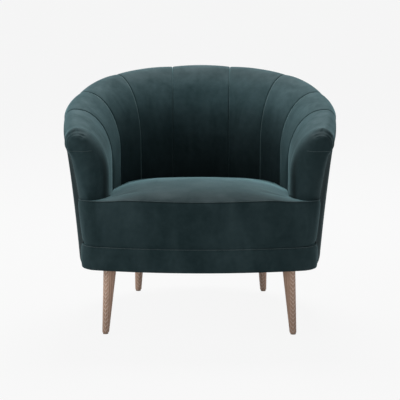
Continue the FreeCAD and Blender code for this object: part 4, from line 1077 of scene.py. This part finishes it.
plainWood = {
    "ringBand": (0.15, 0.85), "fibreBand": (0.3, 0.7), "ringShare": 0.6, "fibreShare": 0.4,
    "rings": 34.0, "stretch": 0.24, "flecks": 0.4, "lines": 0.0, "tones": (1.0, 1.0), "bump": (0.2, 0.0004),
}
woods = {
    "oak": {
        "dark": (0.36, 0.210, 0.140, 1), "light": (0.74, 0.490, 0.365, 1), "fleck": (0.95, 0.80, 0.69, 1),
        "roughness": (0.60, 0.45), "rings": 62.0, "stretch": 0.09, "lines": 0.70, "tones": (0.76, 1.14),
    },
    "frame_timber": {
        "dark": (0.42, 0.27, 0.14, 1), "light": (0.60, 0.43, 0.26, 1), "fleck": (0.66, 0.5, 0.33, 1),
        "roughness": (0.75, 0.60), "rings": 40.0,
    },
    "plywood": {
        "dark": (0.48, 0.33, 0.19, 1), "light": (0.66, 0.49, 0.31, 1), "fleck": (0.7, 0.55, 0.4, 1),
        "roughness": (0.70, 0.55), "rings": 22.0, "stretch": 0.3,
    },
}


def woodMaterial(name, look):
    # rings and fibres between two tones, with pale flecks and arches, and painted shade: darker towards the
    # floor, lighter up to the base
    material, tree, shader = newMaterial(name)
    grain, place = groupNode(tree, grainGroup)
    grain.inputs["Ring Scale"].default_value = look["rings"]
    grain.inputs["Stretch"].default_value = look["stretch"]
    bands = rampNode(tree, grain.outputs["Rings"], *look["ringBand"])
    fibres = rampNode(tree, grain.outputs["Fibres"], *look["fibreBand"])
    both = sumOf(tree, bands, look["ringShare"], fibres, look["fibreShare"])
    colour = mixColour(tree, both, look["dark"], look["light"])
    pale = mathNode(tree, "MAXIMUM", mathNode(tree, "MULTIPLY", grain.outputs["Flecks"], look["flecks"]),
                    mathNode(tree, "MULTIPLY", grain.outputs["Lines"], look["lines"]))
    colour = mixColour(tree, pale, colour, look["fleck"])
    # painted shade by height: the colour is scaled from the floor up to the base
    height = addNode(tree, "ShaderNodeSeparateXYZ", [("Vector", place)])
    shade = rampNode(tree, height.outputs["Z"], 0.0, tub["base"], *look["tones"])
    colour = mixColour(tree, 1.0, colour, shade, "MULTIPLY")
    surface(tree, shader, colour, both, look["roughness"], both, look["bump"])
    return material


plainCloud = {"band": (0.35, 0.65), "metallic": 0.0, "sheen": 0.0, "bump": (0.3, 0.0003)}
clouds = {
    "lining_board": {
        "dark": (0.13, 0.075, 0.04, 1), "light": (0.19, 0.12, 0.07, 1), "scale": 700.0,
        "roughness": (0.88, 0.74),
    },
    "zinc_steel": {
        "dark": (0.45, 0.45, 0.43, 1), "light": (0.62, 0.62, 0.60, 1), "scale": 160.0,
        "roughness": (0.46, 0.32), "metallic": 1.0, "bump": (0.3, 0.0001),
    },
    "spring_steel": {
        "dark": (0.10, 0.10, 0.11, 1), "light": (0.2, 0.2, 0.21, 1), "scale": 240.0,
        "roughness": (0.50, 0.36), "metallic": 1.0, "bump": (0.3, 0.0001),
    },
    "seat_foam": {
        "dark": (0.62, 0.56, 0.36, 1), "light": (0.78, 0.73, 0.52, 1), "scale": 900.0,
        "roughness": (0.98, 0.84), "bump": (0.3, 0.0008),
    },
    "grey_felt": {
        "dark": (0.08, 0.08, 0.078, 1), "light": (0.19, 0.18, 0.175, 1), "scale": 500.0,
        "roughness": (1.03, 0.89), "bump": (0.3, 0.0008), "sheen": 0.3,
    },
    "black_cloth": {
        "dark": (0.008, 0.008, 0.008, 1), "light": (0.02, 0.02, 0.02, 1), "scale": 1200.0,
        "roughness": (0.98, 0.84),
    },
    "nylon": {
        "dark": (0.26, 0.18, 0.13, 1), "light": (0.34, 0.24, 0.175, 1), "scale": 400.0,
        "roughness": (0.53, 0.39), "bump": (0.3, 0.0001),
    },
}


def cloudMaterial(name, look):
    # cast, rolled, foamed or felted stuff: two tones in a fine cloud, with the same cloud as its relief
    material, tree, shader = newMaterial(name)
    place = addNode(tree, "ShaderNodeTexCoord").outputs["Object"]
    cloud = addNode(tree, "ShaderNodeTexNoise", [("Vector", place)], Scale=look["scale"], Detail=4.0,
                    Roughness=0.6)
    tone = rampNode(tree, cloud.outputs[0], *look["band"])
    colour = mixColour(tree, tone, look["dark"], look["light"])
    shader.inputs["Metallic"].default_value = look["metallic"]
    shader.inputs["Sheen Weight"].default_value = look["sheen"]
    surface(tree, shader, colour, tone, look["roughness"], cloud.outputs[0], look["bump"])
    return material


# copies of the one velvet, their sheen set per piece, more on the seat and less on the arms and outside
# covers: painted light
velvet = velvetMaterial("velvet", velvetLook)
velvetSeat = velvetMaterial("velvet_seat", dict(velvetLook, sheen=0.45))
velvetArm = velvetMaterial("velvet_arm", dict(velvetLook, sheen=0.15))
velvetCover = velvetMaterial("velvet_cover", dict(velvetLook, sheen=0.14))
velvetPlain = velvetMaterial("velvet_panel", velvetLook, seams=False)
# the cords are paler than the velvet: a painted highlight
pipingHighlightLook = dict(velvetLook, dark=(0.045, 0.068, 0.073, 1), light=(0.085, 0.118, 0.125, 1))
pipingHighlight = velvetMaterial("velvet_seam", pipingHighlightLook, seams=False)
finishes = {name: woodMaterial(name, dict(plainWood, **look)) for name, look in woods.items()}
finishes.update({name: cloudMaterial(name, dict(plainCloud, **look)) for name, look in clouds.items()})
finishes["velvet"] = velvetPlain
print("materials: ready")


# the visible pieces

for number, name in sorted(channelNames.items()):
    piece = paintLightAndShade(channelPad(name + "_velvet", number), "channel")
    pushedOut(piece, channelLook)
    dress(refine(piece), velvet, "velvet", name, fill=0.8)
print("channels: seven between seams")

capLines = {}
for side, name in ((1, "left"), (-1, "right")):
    piece, capLines[side] = armPad("arm_%s_velvet" % name, side)
    paintLightAndShade(piece, "arm", armSide=side)
    nodes = [start + name for start in ("channel_4_", "arm_cap_", "arm_facing_")]
    dress(refine(piece), velvetArm, "velvet", *nodes, fill=0.8)
print("arms: last channels run round into the facings")

seatTop = paintLightAndShade(seatPad("seat_top_velvet"), "seat", axis=1)
pushedOut(seatTop, seatLook)
dress(refine(seatTop), velvetSeat, "velvet", "seat_top_cover", fill=0.8)
border, borderGrid = borderPad("seat_border_velvet")
pushedOut(paintLightAndShade(border, "front"), frontLook)
dress(refine(border), velvet, "velvet", "seat_front_border", fill=0.7)
band, bandGrid = bandPad("front_band_velvet")
dress(refine(paintLightAndShade(band, "front")), velvet, "velvet", "front_band", fill=0.7)
print("seat: top, border and band")

foam, look = finishes["seat_foam"], insideLook
foamBlock = seatPad("seat_foam_block", look["foamInset"], look["foamLow"])
dress(refine(foamBlock), foam, "seat_foam", "seat_foam", fill=0.9)
foamHeights = np.linspace(look["frontLow"], look["frontHigh"], look["frontRows"])
foamSink = np.full(look["frontRows"], -look["frontSink"])
foamGrids = wrapBoard(foamHeights, sideAt, foamSink, look["frontThick"], look["frontColumns"])
dress(closedPad("seat_foam_front", *foamGrids), foam, "seat_foam", "seat_foam", fill=0.9)
dress(feltPad("seat_felt_pad"), finishes["grey_felt"], "grey_felt", "seat_felt", fill=0.9)
dustPiece = dress(dustSheet("dust_cloth"), finishes["black_cloth"], "black_cloth", "dust_cover")
clothArea(dustPiece)
print("inside: foam, felt and dust cloth")

joint, backColumns, armColumns = (outsideLook[key] for key in ("joint", "columnsBack", "columnsArm"))
covers = (
    ("outside_back_velvet", "outside_back_cover", -joint, joint, backColumns, 0),
    ("outside_left_velvet", "outside_arm_cover_left", joint, lastSeam, armColumns, 1),
    ("outside_right_velvet", "outside_arm_cover_right", -lastSeam, -joint, armColumns, -1),
)
coverGrids = {}
for name, node, first, last, columns, side in covers:
    cover, coverGrids[side] = outsidePad(name, first, last, columns, side)
    dress(refine(paintLightAndShade(cover, "cover")), velvetCover, "velvet", node, fill=0.9)
print("outside covers: three")

# sewn lines: thin cords coloured paler than the velvet, a painted highlight along each seam

seamLook = {
    "radius": 0.0012, "start": 0.215, "facing": (0, -0.0008, 0), "cap": (0, -0.0001, 0),
    "seat": (0, -0.0004, 0.0004), "band": (0, 0.0002, 0.0006), "bandRow": -3,
}
for side, name in ((1, "left"), (-1, "right")):
    ring = coverGrids[side][0 if side > 0 else -1]
    ring = ring[ring[:, 2] > seamLook["start"]] + seamLook["facing"]
    dress(tubePiece("facing_seam_" + name, ring, seamLook["radius"]), pipingHighlight, "velvet")
    line = capLines[side][slice(*armLook["capPoints"])] + seamLook["cap"]
    dress(tubePiece("cap_seam_" + name, line, armLook["capRadius"]), pipingHighlight, "velvet")
topSeam = borderGrid[:, -1] + seamLook["seat"]
dress(tubePiece("seat_edge_seam", topSeam, seamLook["radius"]), pipingHighlight, "velvet")
lowSeam = bandGrid[:, seamLook["bandRow"]] + seamLook["band"]
dress(tubePiece("band_seam", lowSeam, seamLook["radius"]), pipingHighlight, "velvet")
print("sewn lines: facings, caps, seat edge and band")

# floor, backdrop and light

stageLook = {
    "colour": 0.921, "glow": 1.048, "bounce": 0.62, "shadowShare": 0.06, "roughness": 0.9, "specular": 0.1,
    "half": 30, "skyAhead": (0.10, -0.30), "skyLevel": (0.70, 0.40), "skyLight": 0.78, "skyFloor": 0.05,
}
grey = stageLook["colour"]


def seenNode(tree):
    # 1 for what the camera sees, straight or in a reflection
    ray = addNode(tree, "ShaderNodeLightPath")
    return mathNode(tree, "MAXIMUM", ray.outputs["Is Camera Ray"], ray.outputs["Is Glossy Ray"])


def stageMaterial():
    # the camera mostly sees the flat pale colour, a share of it stays lit so that the chair casts a shadow
    material, tree, shader = newMaterial("backdrop")
    shader.inputs["Roughness"].default_value = stageLook["roughness"]
    shader.inputs["Specular IOR Level"].default_value = stageLook["specular"]
    shader.inputs["Base Color"].default_value = (stageLook["bounce"],) * 3 + (1,)
    flat = addNode(tree, "ShaderNodeEmission", Color=(grey, grey, grey, 1), Strength=stageLook["glow"])
    share = mathNode(tree, "MULTIPLY", seenNode(tree), 1 - stageLook["shadowShare"])
    both = addNode(tree, "ShaderNodeMixShader", [(0, share), (1, shader.outputs[0]), (2, flat.outputs[0])])
    tree.links.new(both.outputs[0], tree.nodes["Material Output"].inputs["Surface"])
    return material


corners = np.array([[-1, -1, 0], [1, -1, 0], [1, 1, 0], [-1, 1, 0]], float) * stageLook["half"]
floor = meshPiece("floor", corners, np.array([[0, 1, 2, 3]]))
floor.data.materials.append(stageMaterial())

world = bpy.data.worlds.new("studio")
world.use_nodes = True
bpy.context.scene.world = world
tree = world.node_tree
background = tree.nodes["Background"]
seen = seenNode(tree)
place = addNode(tree, "ShaderNodeTexCoord")
height = addNode(tree, "ShaderNodeSeparateXYZ", [("Vector", place.outputs["Generated"])])
ahead = rampNode(tree, height.outputs["Y"], *stageLook["skyAhead"])
level = rampNode(tree, height.outputs["Z"], *stageLook["skyLevel"])
# the chair is lit from low down ahead of it, over a faint glow all round
sky = mathNode(tree, "MULTIPLY", mathNode(tree, "MULTIPLY", ahead, level), stageLook["skyLight"])
sky = mathNode(tree, "ADD", sky, stageLook["skyFloor"])
unseen = mathNode(tree, "MULTIPLY", mathNode(tree, "SUBTRACT", 1.0, seen), sky)
background.inputs["Color"].default_value = (grey, grey, grey, 1)
tree.links.new(mathNode(tree, "ADD", seen, unseen), background.inputs["Strength"])

lampLook = {
    "behind": {"place": (0.0, 1.45, 2.8), "size": (1.2, 1.0), "power": 92.0, "aim": (0, 0, 0.4)},
    "left": {"place": (-2.6, -0.8, 1.6), "size": (1.4, 1.4), "power": 25.0, "aim": (0, 0, 0.4)},
}
for name, lamp in lampLook.items():
    light = bpy.data.lights.new(name, "AREA")
    light.shape, light.energy = "RECTANGLE", lamp["power"]
    light.size, light.size_y = lamp["size"]
    holder = bpy.data.objects.new(name, light)
    holder.location = lamp["place"]
    aim = Vector(lamp["aim"]) - holder.location
    holder.rotation_euler = aim.to_track_quat("-Z", "Y").to_euler()
    bpy.context.scene.collection.objects.link(holder)
print("studio: floor, backdrop and two soft lamps")

cameraLook = {
    "azimuth": 0.5, "elevation": 11.07, "distance": 5.10, "target": (-0.0008, 0, 0.3388),
    "lens": 147.95, "sensor": 36.0, "far": 200,
}
camera = bpy.data.objects.new("camera", bpy.data.cameras.new("camera"))
turn, lift = math.radians(cameraLook["azimuth"]), math.radians(cameraLook["elevation"])
back = Vector((math.sin(turn) * math.cos(lift), -math.cos(turn) * math.cos(lift), math.sin(lift)))
camera.location = Vector(cameraLook["target"]) + back * cameraLook["distance"]
camera.rotation_euler = (-back).to_track_quat("-Z", "Y").to_euler()
camera.data.sensor_width = cameraLook["sensor"]
camera.data.lens = cameraLook["lens"]
camera.data.clip_end = cameraLook["far"]
bpy.context.scene.collection.objects.link(camera)
bpy.context.scene.camera = camera
bpy.context.scene.view_settings.view_transform = "Standard"

# the rest of the frame keeps its shape and takes its finish

slotOf = {row["node"]: row["material_slot"] for row in frame["record"]["subparts"]}
for name, piece in frame["nodes"].items():
    piece.data.materials.clear()
    piece.data.materials.append(finishes[slotOf[name]])

bpy.context.view_layer.update()
